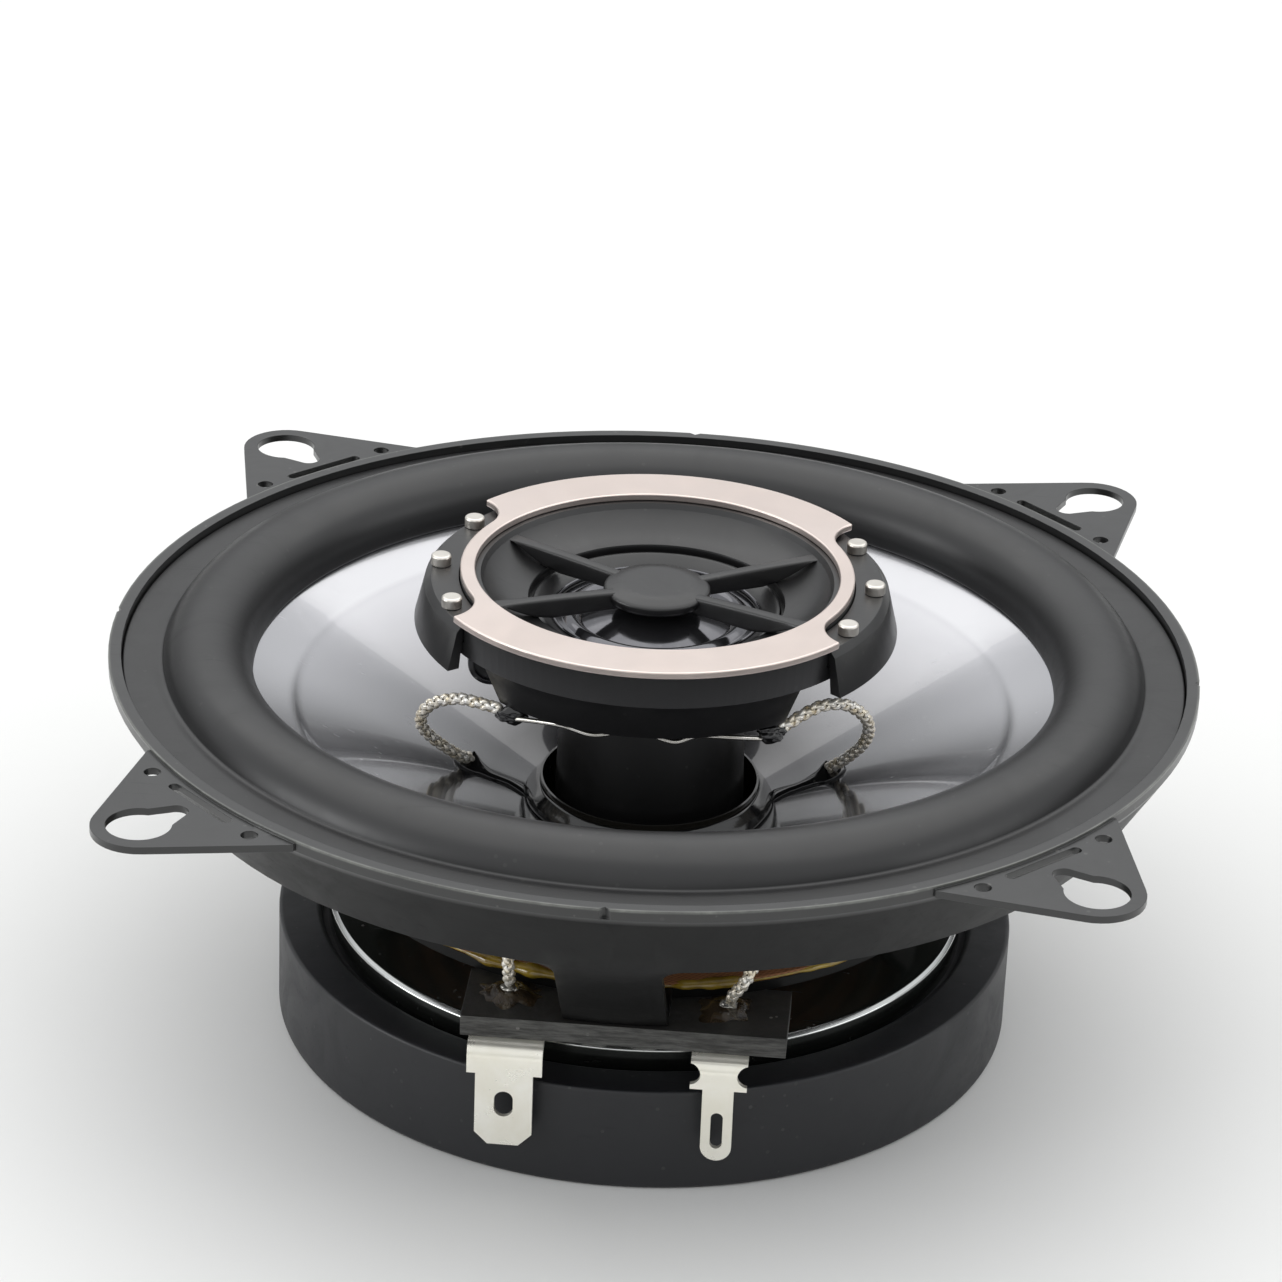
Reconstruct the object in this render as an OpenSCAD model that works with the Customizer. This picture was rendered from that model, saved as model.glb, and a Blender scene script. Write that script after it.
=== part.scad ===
// Four-inch coaxial car speaker. The rim plane is z = 0, +Z faces the listener, the
// terminals are at -Y, and the four mounting ears lie between the X and Y axes.

/* [Flange] */
// Outer radius of the round rim
rim_r = 51; // [46:0.5:62]
// Thickness of the rim and ear sheet
rim_t = 1.0; // [0.8:0.1:1.5]
// Width of the raised lip around the rubber edge
lip_w = 1.2; // [1.2:0.1:2.4]
// Drop from the lip to the ledge that the rubber edge is glued on
landing_drop = 1.5; // [1.2:0.1:2]
// Half width of an ear where it leaves the rim
ear_half_w = 11; // [9:0.5:13]
// Distance from the rim to the centre of an ear's round tip
ear_reach = 7.3; // [6:0.1:9]
// Radius of an ear's round tip
ear_tip_r = 4.4; // [4.2:0.1:5.5]
// Radius of a mounting hole
hole_r = 2.9; // [2.2:0.1:3]
// Radius of the rounded inner end of a mounting hole
hole_tail_r = 1.1; // [0.8:0.1:1.2]

/* [Basket] */
// Thickness of the pressed steel sheet
sheet_t = 1.2; // [1:0.1:1.6]
// Depth of the solid wall below the rim plane
wall_h = 8.5; // [7:0.5:10]
// How far the wall leans in over its height
wall_lean = 4.5; // [3:0.1:5]
// Width of a leg between two windows
leg_w = 9.4; // [7:0.2:12]
// Radius of the rounded window corners beside a leg
window_corner_r = 2; // [1:0.1:3]
// Depth of the spider ledge below the rim plane
ledge_depth = 19.9; // [18.5:0.1:20.5]
// Outer radius of the spider ledge
ledge_r = 29.5; // [28:0.1:31]

/* [Cone and suspension] */
// Radius at which the rubber roll meets the cone
cone_r = 37.7; // [36:0.1:38.5]
// Thickness of the cone
cone_t = 0.45; // [0.3:0.05:0.6]
// Thickness of the rubber roll
roll_t = 0.7; // [0.4:0.1:0.9]
// Height of the rubber roll's crest above the rim plane
roll_rise = 2.2; // [1:0.1:3]
// Inner radius of the voice coil former
former_r = 10.2; // [10.1:0.1:10.4]
// Travel of the cone each way
cone_travel = 3; // [2:0.1:3]

/* [Motor] */
// Depth of the front plate's face below the rim plane
plate_depth = 25.6; // [25.6:0.1:27]
// Radius of the front plate
plate_r = 30.4; // [29:0.1:31]
// Thickness of the front plate
plate_t = 2.8; // [2.5:0.1:4]
// Radius of the ferrite ring
magnet_r = 33; // [32:0.1:38]
// Radius of the ferrite ring's hole
magnet_hole_r = 16; // [14:0.1:18]
// Thickness of the ferrite ring
magnet_t = 5.5; // [5.5:0.1:9]
// Thickness of the back plate
back_t = 3; // [3:0.1:4]
// Radial clearance in the magnetic gap, each side of the coil
gap_clear = 0.35; // [0.3:0.01:0.4]
// Wall thickness of the rubber boot
boot_wall = 2; // [1.5:0.1:2.5]

/* [Terminals] */
// Width of the insulating board
board_w = 29.2; // [26:0.2:30]
// Thickness of the insulating board
board_t = 2; // [1.5:0.1:2.2]
// Blade width of the wide tab
wide_tab_w = 5.2; // [4.8:0.1:6.3]
// Blade width of the narrow tab
narrow_tab_w = 2.8; // [2.8:0.1:3.4]
// Thickness of the tab metal
tab_t = 0.5; // [0.4:0.05:0.8]
// Length of the tabs below the board
tab_drop = 10.3; // [9:0.1:12]

/* [Tweeter] */
// Outer radius of the tweeter bezel
bezel_r = 21; // [20.5:0.1:22]
// Height of the trim ring's face above the rim plane
trim_top = 8; // [8:0.1:10]
// Thickness of the trim ring
trim_t = 0.7; // [0.5:0.1:1]
// Inner radius of the trim ring
trim_hole_r = 17; // [16.8:0.1:17.4]
// Overhang of the trim ring past the bezel
trim_over = 0.9; // [0.4:0.1:1.2]
// Radius of the circle that the studs stand on
stud_circle_r = 20.3; // [20:0.1:20.5]
// Angle from a wing's middle to each vane
vane_angle = 27.5; // [22:0.5:32]
// Radius of the central hub
hub_r = 5; // [4.5:0.1:5.5]
// Radius of the post that carries the tweeter, at its foot
post_r = 9.3; // [8:0.1:9.4]
// Radius of the tweeter's dome
dome_r = 7; // [6.8:0.1:7.2]
// Travel of the tweeter's dome each way
dome_travel = 0.25; // [0.1:0.05:0.25]

/* [Hidden] */
$fn = 96;
eps = 0.01;
ear_turn = 45;
steel = [0.3, 0.3, 0.31];
plastic = [0.1, 0.1, 0.11];
rubber = [0.07, 0.07, 0.08];

// basket
lip_r = rim_r - lip_w;
wall_top_r = rim_r;
wall_low_r = wall_top_r - wall_lean;
wall_in_r = max(rim_r - lip_w, wall_top_r - sheet_t);
foot_r = 34.5;
ledge_in_r = 25.9;
floor_r = 21;
floor_hole_r = 14.5;
landing_r = rim_r - 5.4;
foot_step = 0.4;
ear_centre = rim_r + ear_reach;
hole_centre = ear_centre + 0.2;
ear_drop = 0.3;
hole_tail_at = hole_centre - hole_r - 1;
hole_tail_half = 39;
hole_end_half = 60;
peg_hole_r = 0.75;
peg_hole_side = 7.3;
relief_len = 8.8;
relief_w = 1;
relief_at = rim_r + 1;
notch_w = 1.9;
notch_in = 0.4;

// motor
plate_z = -plate_depth;
magnet_z = plate_z - plate_t;
yoke_z = magnet_z - magnet_t;
back_z = yoke_z - back_t;
boot_lip = 0.8;
boot_top_lip = 1;
boot_z = back_z - boot_lip;
boot_r = magnet_r + 0.2 + boot_wall;
boot_edge = 0.5;
former_t = 0.2;
winding_t = 0.45;
coil_r = former_r + former_t + winding_t;
gap_r = coil_r + gap_clear;
pole_r = former_r - 0.3;
winding_h = 7;
plate_mid = plate_z - plate_t / 2;
coil_top = plate_mid + winding_h / 2;
coil_low = plate_mid - winding_h / 2;
screw_r = 2;
screw_head_r = 3.6;
screw_head_h = 1.8;
recess_r = 4.2;
recess_h = 2;

// cone and suspension
neck_r = former_r + former_t;
neck_z = -16.4;
cone_step_r = cone_r - 3.7;
cone_step_z = -4.9;
cone_edge_r = cone_r + 1.3;
cone_edge_z = -2.6;
glue_r = neck_r + 1.5;
former_top = -13.6;
roll_out_r = landing_r + 0.5;
roll_mid = (roll_out_r + cone_r) / 2;
roll_half = (roll_out_r - cone_r) / 2 + 0.1;
roll_high = roll_rise + landing_drop;
roll_wide = roll_half > 1.2 * roll_high;
roll_r = roll_wide ? (pow(roll_half, 2) + pow(roll_high, 2)) / (2 * roll_high) : roll_half;
roll_z = roll_rise - roll_r;
roll_foot_z = roll_wide ? -landing_drop : roll_z;
rubber_flange_t = 0.8;
spider_t = 0.5;
spider_rolls = 5;
spider_wave = 0.8;
spider_flat_r = ledge_in_r + 0.4;
pad_r = 1.4;
pad_at = 16.7;
pad_turn = 5.5;

// terminals
board_z = -ledge_depth - rim_t;
board_front = 34.9;
board_back = 26.4;
board_side = 0.8;
board_rivet_r = 0.9;
board_rivet_at = 30.8;
board_rivet_side = 2.6;
eyelet_r = 1.1;
eyelet_head_r = 1.7;
eyelet_head_h = 0.4;
eyelet_at = 30.2;
eyelet_side = 9.9;
tab_side = 9.6;
tab_plane = board_front + 1.4;
tab_bend_r = 1.5;
tab_bite_r = 1;
tab_z = board_z - board_t;

// tweeter
bezel_top = trim_top - trim_t;
bezel_low = 4;
skirt_low = 0;
skirt_low_r = bezel_r - 1.9;
skirt_t = 1.2;
skirt_half = 43;
wing_half = 37.5;
wing_gap = 0.1;
wing_top = trim_top - 1;
wing_plate_low = 5.4;
wing_in_r = 18.5;
wing_low = 2.7;
wing_top_r = bezel_r + 0.5;
wing_low_r = bezel_r + 1.6;
wing_t = 1.2;
throat_r = 12;
throat_z = 4.9;
horn_r = trim_hole_r - 0.5;
cup_r = 12.9;
cup_z = -2;
cup_wall = 1.2;
cup_flange_r = 17;
cup_flange_t = 1;
pot_r = cup_r - cup_wall - 0.1;
pot_z = cup_z + cup_wall;
pot_floor = 1;
pot_top = 2.4;
dome_coil_t = 0.25;
dome_former_t = 0.1;
pot_hole_r = dome_r + 0.5;
tweeter_pole_r = dome_r - 0.6;
tweeter_pole_t = 1;
tweeter_magnet_r = 6;
dome_z = 2.9;
dome_rise = 1.45;
dome_t = 0.15;
edge_out_r = 9.6;
edge_seat_z = 3.1;
ring_top = 4.4;
vane_t = 1.2;
vane_top = 6.5;
vane_crest = 6.95;
vane_low = 5.1;
vane_foot = 4.75;
stud_r = 0.95;
stud_pin_r = 0.5;
side_trim_r = 18.4;
scallop_r = 4;
stud_turn = 26.2;
capacitor_r = 2.2;
capacitor_len = 9;
lead_r = 0.5;
wire_r = 0.3;

// Routes of the four braided leads and the two bare wires, with the terminals facing -Y
tweeter_left_route = [[-12.8, -14.2, -0.5], [-13.8, -13.9, -0.5], [-15.4, -13.2, -0.5],
    [-17.2, -12, -0.9], [-19.4, -10.5, -2.2], [-20.7, -9.2, -4], [-20.9, -8, -6], [-20, -6.5, -8],
    [-18.7, -5, -9.8], [-17.6, -3.4, -11.3], [-16.9, -2, -12.1]];
tweeter_right_route = [[12.4, -14.1, -0.8], [13.4, -13.4, -0.4], [14.6, -12.6, 0.2],
    [16.4, -11.2, 0.6], [18.4, -9.6, 0], [20, -7.8, -1.8], [20.6, -6, -4], [20.2, -4, -6.6],
    [19, -2, -9], [17.7, -0.2, -11], [16.9, 1.2, -12.2]];
terminal_left_route = [[-9.9, -30.2, -20], [-9.9, -31, -18.8], [-9.9, -31.8, -17.3],
    [-10, -32, -15.6], [-10.5, -31, -14], [-11.6, -28, -13], [-13.2, -23.5, -12.9],
    [-14.8, -18.5, -13.3], [-16, -13.5, -13.9], [-16.9, -8.6, -14.8], [-17.1, -4.6, -15.2],
    [-16.9, -2.4, -14.9], [-16.7, -1.6, -14.3]];
terminal_right_route = [[9.9, -30.2, -20], [10.5, -31, -18.8], [11.3, -31.8, -17.2],
    [12, -32, -15.4], [12.4, -31, -13.8], [12.8, -28, -12.9], [13.8, -23.5, -12.9],
    [15, -18.5, -13.3], [16.2, -12.5, -13.9], [17, -6.6, -14.8], [17.2, -1.6, -15.2],
    [17, 0.6, -14.9], [16.7, 1.6, -14.3]];
wire_left_route = [[-11.7, -14.7, -1.2], [-10, -15.6, -0.8], [-7, -17, -0.3], [-4.4, -17.6, -0.7],
    [-2.4, -17.9, -0.3]];
wire_right_route = [[1.6, -18, -0.3], [3.4, -17.7, -0.8], [5.4, -17.2, -0.3],
    [8.8, -15.9, -0.9], [11.2, -14.6, -1.5]];

function unit(v) = v / max(norm(v), 1e-9);

// Direction of a route at its point i
function heading(route, i) =
    unit(route[min(i + 1, len(route) - 1)] - route[max(i - 1, 0)]);

// Direction square to the route at its point i, carried along from the start without twisting
function side_way(route, i) =
    let (d = heading(route, i), last = i == 0 ? cross(d, [0.3, 1, 0.2]) : side_way(route, i - 1))
    unit(last - (last * d) * d);

// Point where a line from p touches a circle, on the side given by way
function touch_point(p, centre, radius, way) =
    let (d = p - centre, far = norm(d), turn = acos(radius / far), lean = atan2(d[1], d[0]))
    centre + radius * [cos(lean + way * turn), sin(lean + way * turn)];

// Height of the cone's front face at radius r
function cone_face(r) =
    r < cone_step_r
        ? neck_z + (r - neck_r) * (cone_step_z - neck_z) / (cone_step_r - neck_r)
        : cone_step_z + (r - cone_step_r) * (cone_edge_z - cone_step_z) / (cone_edge_r - cone_step_r);

module quarters() for (turn = [0 : 90 : 270]) rotate([0, 0, turn]) children();

module ring(out_r, in_r, low, high)
    translate([0, 0, low]) difference() {
        cylinder(r = out_r, h = high - low);
        translate([0, 0, -eps]) cylinder(r = in_r, h = high - low + 2 * eps);
    }

module disc(radius, low, high) translate([0, 0, low]) cylinder(r = radius, h = high - low);

// Tube swept along a route, eight sides, closed at both ends
module tube(route, radius) {
    sides = 8;
    count = len(route);
    points = [for (i = [0 : count - 1])
        let (d = heading(route, i), u = side_way(route, i), v = cross(d, u))
        for (k = [0 : sides - 1])
            route[i] + radius * (cos(k * 360 / sides) * u + sin(k * 360 / sides) * v)];
    low_halves = [for (i = [0 : count - 2], k = [0 : sides - 1])
        let (n = (k + 1) % sides)
        [i * sides + n, i * sides + k, (i + 1) * sides + n]];
    high_halves = [for (i = [0 : count - 2], k = [0 : sides - 1])
        let (n = (k + 1) % sides)
        [i * sides + k, (i + 1) * sides + k, (i + 1) * sides + n]];
    start = [for (k = [0 : sides - 1]) k];
    finish = [for (k = [sides - 1 : -1 : 0]) (count - 1) * sides + k];
    polyhedron(points, concat(low_halves, high_halves, [start, finish]), convexity = 4);
}

// Wedge about -Y that reaches half degrees to each side
module sector(half, far, low, high)
    translate([0, 0, low]) linear_extrude(high - low)
        polygon([[0, 0], far * [-sin(half), -cos(half)], far * [-sin(half / 2), -cos(half / 2)],
            far * [0, -1], far * [sin(half / 2), -cos(half / 2)], far * [sin(half), -cos(half)]]);

module stadium(length, width)
    union() {
        square([length - width, width], center = true);
        for (side = [-1, 1]) translate([side * (length - width) / 2, 0]) circle(d = width);
    }

// Round mounting hole with a tapered tail towards the rim
module mounting_hole_plan() {
    open_x = hole_centre - hole_r * cos(hole_tail_half);
    open_y = hole_r * sin(hole_tail_half);
    translate([hole_centre, 0]) circle(r = hole_r);
    end_x = hole_tail_at - hole_tail_r * cos(hole_end_half);
    end_y = hole_tail_r * sin(hole_end_half);
    polygon([[open_x, open_y], [end_x, end_y], [end_x, -end_y], [open_x, -open_y]]);
    translate([hole_tail_at, 0]) circle(r = hole_tail_r);
}

// One ear in plan, reaching out along +X
module ear_plan() {
    root = [rim_r - 1, ear_half_w];
    tip = [ear_centre, 0];
    high = touch_point(root, tip, ear_tip_r, -1);
    difference() {
        union() {
            polygon([[rim_r - 2.2, ear_half_w - 1], root, high, tip, [high[0], -high[1]],
                [root[0], -root[1]], [rim_r - 2.2, 1 - ear_half_w]]);
            translate(tip) circle(r = ear_tip_r);
        }
        circle(r = lip_r + 0.2);
        mounting_hole_plan();
        translate([relief_at, 0]) rotate(90) stadium(relief_len, relief_w);
        for (side = [-1, 1]) translate([relief_at, side * peg_hole_side]) circle(r = peg_hole_r);
    }
}

// Section of the pressed shell from the rim down to the floor
module shell_section() {
    low = -ledge_depth;
    polygon([[wall_top_r, -rim_t], [wall_low_r, -wall_h], [foot_r, low - rim_t],
        [ledge_in_r + foot_step, low - rim_t], [floor_r + foot_step, plate_z], [floor_hole_r, plate_z],
        [floor_hole_r, plate_z + rim_t], [floor_r, plate_z + rim_t], [ledge_in_r, low],
        [foot_r - foot_step, low], [wall_low_r - sheet_t, -wall_h],
        [wall_in_r, -landing_drop], [wall_in_r, -rim_t]]);
}

// Face of two opposite legs with the filleted window corners above
module leg_face() {
    translate([-leg_w / 2, plate_z - 1]) square([leg_w, plate_depth + 1 - wall_h + 1]);
    for (side = [-1, 1]) scale([side, 1]) translate([leg_w / 2 - eps, -wall_h]) difference() {
        translate([0, -window_corner_r]) square([window_corner_r, window_corner_r + 1]);
        translate([window_corner_r, -window_corner_r]) circle(r = window_corner_r);
    }
}

module basket() color(steel) {
    difference() {
        union() {
            ring(rim_r, lip_r, -rim_t, 0);
            ring(wall_in_r + 0.1, landing_r, -landing_drop - rim_t, -landing_drop);
            translate([0, 0, -rim_t]) linear_extrude(rim_t - ear_drop)
                rotate(ear_turn) quarters() ear_plan();
        }
        quarters() translate([rim_r, 0, -rim_t - eps]) linear_extrude(rim_t + 2 * eps)
            polygon([[-notch_in, 0], [1, -notch_w], [1, notch_w]]);
    }
    intersection() {
        rotate_extrude() shell_section();
        union() {
            disc(rim_r, -wall_h, 0);
            for (turn = [0, 90]) rotate([90, 0, turn])
                translate([0, 0, -rim_r]) linear_extrude(2 * rim_r) leg_face();
        }
    }
    ring(ledge_r, ledge_in_r, -ledge_depth - rim_t, -ledge_depth);
    ring(floor_r, floor_hole_r, plate_z, plate_z + rim_t);
}

// Flange, half roll and inner foot, each turned and overlapping the next
module surround() color(rubber) {
    base = -landing_drop;
    foot = roll_mid - roll_half;
    rotate_extrude() translate([landing_r + 0.1, base])
        square([lip_r - landing_r - 0.2, rubber_flange_t]);
    rotate_extrude() difference() {
        translate([roll_mid, roll_z]) circle(r = roll_r);
        translate([roll_mid, roll_z]) circle(r = roll_r - roll_t);
        // below the roll the outer foot stops at the ledge and the inner one runs on
        translate([roll_mid, max(base, roll_z) - 3 * roll_r]) square(3 * roll_r);
        translate([roll_mid - 3 * roll_r, roll_foot_z - 3 * roll_r]) square(3 * roll_r);
    }
    if (roll_z > base) rotate_extrude() translate([roll_mid + roll_r - roll_t, base])
        square([roll_t, roll_z - base + eps]);
    rotate_extrude() polygon([[foot, cone_face(foot)], [foot, roll_foot_z + 0.2],
        [foot + roll_t, roll_foot_z + 0.2], [foot + roll_t, cone_face(foot + roll_t) + 0.1],
        [cone_edge_r, cone_edge_z + 0.1], [cone_edge_r, cone_edge_z],
        [foot + roll_t, cone_face(foot + roll_t)]]);
}

module cone() color([0.72, 0.72, 0.74]) rotate_extrude()
    polygon([[neck_r, neck_z], [cone_step_r, cone_step_z], [cone_edge_r, cone_edge_z],
        [cone_edge_r, cone_edge_z - cone_t], [cone_step_r, cone_step_z - cone_t],
        [neck_r, neck_z - cone_t]]);

module spider() color([0.5, 0.3, 0.1]) rotate_extrude() {
    base = -ledge_depth;
    start = neck_r + 0.02;
    pitch = (spider_flat_r - start - 1) / (2 * spider_rolls);
    crest = [for (i = [0 : 2 * spider_rolls])
        [start + 1 + i * pitch, base + spider_wave / 2 * (1 - cos(i * 180))]];
    top = concat([[start, base]], crest, [[ledge_r - 0.1, base]]);
    polygon(concat(top, [for (i = [len(top) - 1 : -1 : 0]) top[i] + [0, spider_t]]));
}

module coil_former() color([0.6, 0.45, 0.2])
    ring(former_r + former_t, former_r, coil_low, former_top);

module voice_coil() color([0.7, 0.35, 0.15])
    ring(coil_r, former_r + former_t, coil_low, coil_top);

module neck_glue() color([0.04, 0.04, 0.04]) rotate_extrude()
    polygon([[neck_r, neck_z], [glue_r, cone_face(glue_r)], [neck_r + 0.5, former_top - 0.6],
        [neck_r, former_top - 0.4]]);

// Solder pads on the cone, each with a sealed tail that runs in to the coil
module lead_pads() color([0.04, 0.04, 0.04]) for (side = [0, 180])
    rotate([0, 0, side + pad_turn]) intersection() {
        union() {
            translate([pad_at, 0, -20]) cylinder(r = pad_r, h = 20);
            translate([glue_r + 0.1, -0.5, -20]) cube([pad_at - glue_r, 1, 20]);
        }
        rotate_extrude() polygon([[glue_r, cone_face(glue_r)],
            [pad_at + 2, cone_face(pad_at + 2)], [pad_at + 2, cone_face(pad_at + 2) + 0.6],
            [glue_r, cone_face(glue_r) + 0.6]]);
    }

module front_plate() color([0.08, 0.08, 0.09])
    ring(plate_r, gap_r, plate_z - plate_t, plate_z);

module ferrite_magnet() color([0.15, 0.15, 0.16])
    ring(magnet_r, magnet_hole_r, yoke_z, magnet_z);

module yoke() color([0.55, 0.56, 0.57]) difference() {
    union() {
        disc(plate_r, back_z, yoke_z);
        disc(pole_r, yoke_z - eps, plate_z);
    }
    disc(screw_r, back_z - eps, plate_z + eps);
    disc(recess_r, back_z - eps, back_z + recess_h);
}

module magnet_boot() color([0.12, 0.12, 0.14]) rotate_extrude() {
    top = magnet_z + boot_top_lip;
    polygon([[plate_r - 1.4, boot_z], [boot_r - boot_edge, boot_z], [boot_r, boot_z + boot_edge],
        [boot_r, top - boot_edge], [boot_r - boot_edge, top], [plate_r + 0.6, top],
        [plate_r + 0.6, magnet_z], [magnet_r + 0.2, magnet_z], [magnet_r + 0.2, back_z],
        [plate_r - 1.4, back_z]]);
}

module terminal_board() color([0.06, 0.06, 0.06]) difference() {
    translate([board_side - board_w / 2, -board_front, tab_z])
        cube([board_w, board_front - board_back, board_t]);
    for (side = [-1, 1]) {
        translate([side * eyelet_side, -eyelet_at, tab_z - eps])
            cylinder(r = eyelet_r, h = board_t + 2 * eps);
        translate([side * board_rivet_side, -board_rivet_at, tab_z - eps])
            cylinder(r = board_rivet_r, h = board_t + 2 * eps);
    }
}

// Rivets that hold the board under the front leg's foot, set flush in the foot
module board_rivets() color([0.6, 0.6, 0.6]) for (side = [-1, 1])
    translate([side * board_rivet_side, -board_rivet_at, tab_z - 0.5]) {
        cylinder(r = board_rivet_r + 0.6, h = 0.5);
        cylinder(r = board_rivet_r, h = board_t + 0.5);
    }

// Flat foot under the board, as far forward as the bend
module tab_foot(width) difference() {
    translate([-width / 2, -tab_plane + tab_bend_r - eps, tab_z - tab_t])
        cube([width, tab_plane - tab_bend_r - eyelet_at + 2.4, tab_t]);
    translate([0, -eyelet_at, tab_z - tab_t - eps]) cylinder(r = eyelet_r, h = tab_t + 2 * eps);
}

// Quarter bend that takes a tab from its foot down to its blade
module tab_bend(width) translate([-width / 2, -tab_plane + tab_bend_r, tab_z - tab_bend_r])
    rotate([90, 0, 90]) intersection() {
        difference() {
            cylinder(r = tab_bend_r, h = width);
            translate([0, 0, -eps]) cylinder(r = tab_bend_r - tab_t, h = width + 2 * eps);
        }
        translate([-2 * tab_bend_r, 0, 0]) cube([2 * tab_bend_r, 2 * tab_bend_r, width]);
    }

module wide_terminal() color([0.8, 0.8, 0.76]) translate([-tab_side, 0, 0]) {
    shoulder = wide_tab_w + 1.6;
    half = wide_tab_w / 2;
    low = -tab_drop;
    translate([tab_side - eyelet_side, 0, 0]) tab_foot(shoulder - 0.9);
    tab_bend(shoulder);
    translate([0, -tab_plane + tab_t, tab_z]) rotate([90, 0, 0]) linear_extrude(tab_t)
        difference() {
            union() {
                translate([-shoulder / 2, -3]) square([shoulder, 3 - tab_bend_r + eps]);
                polygon([[-half, -2.5], [-half, low + 1.2], [-half + 1.2, low], [half - 1.2, low],
                    [half, low + 1.2], [half, -2.5]]);
            }
            translate([0, low / 2 - 0.9]) rotate(90) stadium(2.6, 1.7);
        }
}

module narrow_terminal() color([0.8, 0.8, 0.76]) translate([tab_side, 0, 0]) {
    shoulder = narrow_tab_w + 2.3;
    half = narrow_tab_w / 2;
    low = -tab_drop;
    translate([eyelet_side - tab_side, 0, 0]) tab_foot(shoulder - 1.2);
    difference() {
        union() {
            tab_bend(shoulder);
            translate([0, -tab_plane + tab_t, tab_z]) rotate([90, 0, 0]) linear_extrude(tab_t)
                difference() {
                    union() {
                        translate([-shoulder / 2, -3]) square([shoulder, 3 - tab_bend_r + eps]);
                        translate([-half, low + half]) square([2 * half, -low - half - 2]);
                        translate([0, low + half]) circle(r = half);
                    }
                    translate([0, low + half + 1.7]) rotate(90) stadium(3.7, 1.1);
                }
        }
        for (side = [-1, 1]) translate([side * (half + 0.25 + tab_bite_r), -tab_plane, tab_z - 1.55])
            rotate([90, 0, 0]) cylinder(r = tab_bite_r, h = 2 * tab_bend_r, center = true);
    }
}

module terminal_eyelets() color([0.7, 0.68, 0.6]) for (side = [-1, 1])
    translate([side * eyelet_side, -eyelet_at, 0]) {
        disc(eyelet_head_r, board_z, board_z + eyelet_head_h);
        disc(eyelet_r, tab_z - tab_t, board_z);
        disc(eyelet_head_r, tab_z - tab_t - eyelet_head_h, tab_z - tab_t);
    }

module terminal_lead_left() color("silver") tube(terminal_left_route, lead_r);

module terminal_lead_right() color("silver") tube(terminal_right_route, lead_r);

module tweeter_lead_left() color("silver") tube(tweeter_left_route, lead_r);

module tweeter_lead_right() color("silver") tube(tweeter_right_route, lead_r);

module tweeter_post() color(plastic) difference() {
    translate([0, 0, plate_z]) cylinder(r1 = post_r, r2 = post_r - 0.7, h = cup_z - plate_z);
    disc(screw_r, plate_z - eps, plate_z + 12);
}

module post_screw() color([0.7, 0.7, 0.72]) {
    disc(screw_r, back_z + recess_h, plate_z + 10);
    disc(screw_head_r, back_z + recess_h - screw_head_h, back_z + recess_h);
}

// The capacitor's cylinder, grown all round by a clearance
module capacitor_body(extra)
    translate([-15.7, -1, bezel_low - capacitor_r - 0.02]) rotate([90, 0, 9])
        translate([0, 0, -extra]) cylinder(r = capacitor_r + extra, h = capacitor_len + 2 * extra);

module tweeter_cup() color(plastic) difference() {
    union() {
        disc(cup_r, cup_z, bezel_low);
        disc(cup_flange_r, bezel_low - cup_flange_t, bezel_low);
    }
    disc(cup_r - cup_wall, pot_z, bezel_low + eps);
    for (turn = [30 : 120 : 270]) rotate([0, 0, turn])
        translate([cup_r + 2.2, 0, bezel_low - 2]) cylinder(r = 0.9, h = 3);
    capacitor_body(0.3);
}

module tweeter_pot() color([0.6, 0.6, 0.62]) difference() {
    disc(pot_r, pot_z, pot_top);
    disc(pot_hole_r, pot_z + pot_floor, pot_top + eps);
}

module tweeter_magnet() color([0.7, 0.7, 0.7])
    disc(tweeter_magnet_r, pot_z + pot_floor, pot_top - tweeter_pole_t);

module tweeter_pole() color([0.6, 0.6, 0.62])
    disc(tweeter_pole_r, pot_top - tweeter_pole_t, pot_top);

module diaphragm_ring() color([0.2, 0.2, 0.2]) rotate_extrude()
    polygon([[edge_out_r - 0.9, pot_top], [pot_r, pot_top], [pot_r, ring_top],
        [pot_r - 0.4, ring_top], [edge_out_r + 0.2, edge_seat_z + 0.4],
        [edge_out_r + 0.2, edge_seat_z], [edge_out_r - 0.9, edge_seat_z]]);

module dome_edge() color([0.3, 0.3, 0.32]) rotate_extrude()
    polygon([[dome_r + 0.05, dome_z], [dome_r + 0.7, dome_z + 0.5], [dome_r + 1.4, dome_z + 0.5],
        [edge_out_r - 0.9, edge_seat_z + 0.02], [edge_out_r, edge_seat_z + 0.02],
        [edge_out_r, edge_seat_z + dome_t], [edge_out_r - 0.8, edge_seat_z + dome_t],
        [dome_r + 1.5, dome_z + 0.5 + dome_t], [dome_r + 0.6, dome_z + 0.5 + dome_t],
        [dome_r + 0.05, dome_z + dome_t]]);

module tweeter_dome() color([0.5, 0.5, 0.52]) {
    ball_r = (pow(dome_r, 2) + pow(dome_rise, 2)) / (2 * dome_rise);
    rotate_extrude() intersection() {
        difference() {
            translate([0, dome_z + dome_rise - ball_r]) circle(r = ball_r);
            translate([0, dome_z + dome_rise - ball_r]) circle(r = ball_r - dome_t);
        }
        translate([0, dome_z]) square([dome_r, 2 * dome_rise]);
    }
    ring(dome_r - 0.1, dome_r - 0.1 - dome_former_t, dome_z - 2.1, dome_z + 0.1);
}

module tweeter_coil() color([0.7, 0.35, 0.15])
    ring(dome_r - 0.1 + dome_coil_t, dome_r - 0.1, dome_z - 2.1, dome_z - 0.5);

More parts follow.
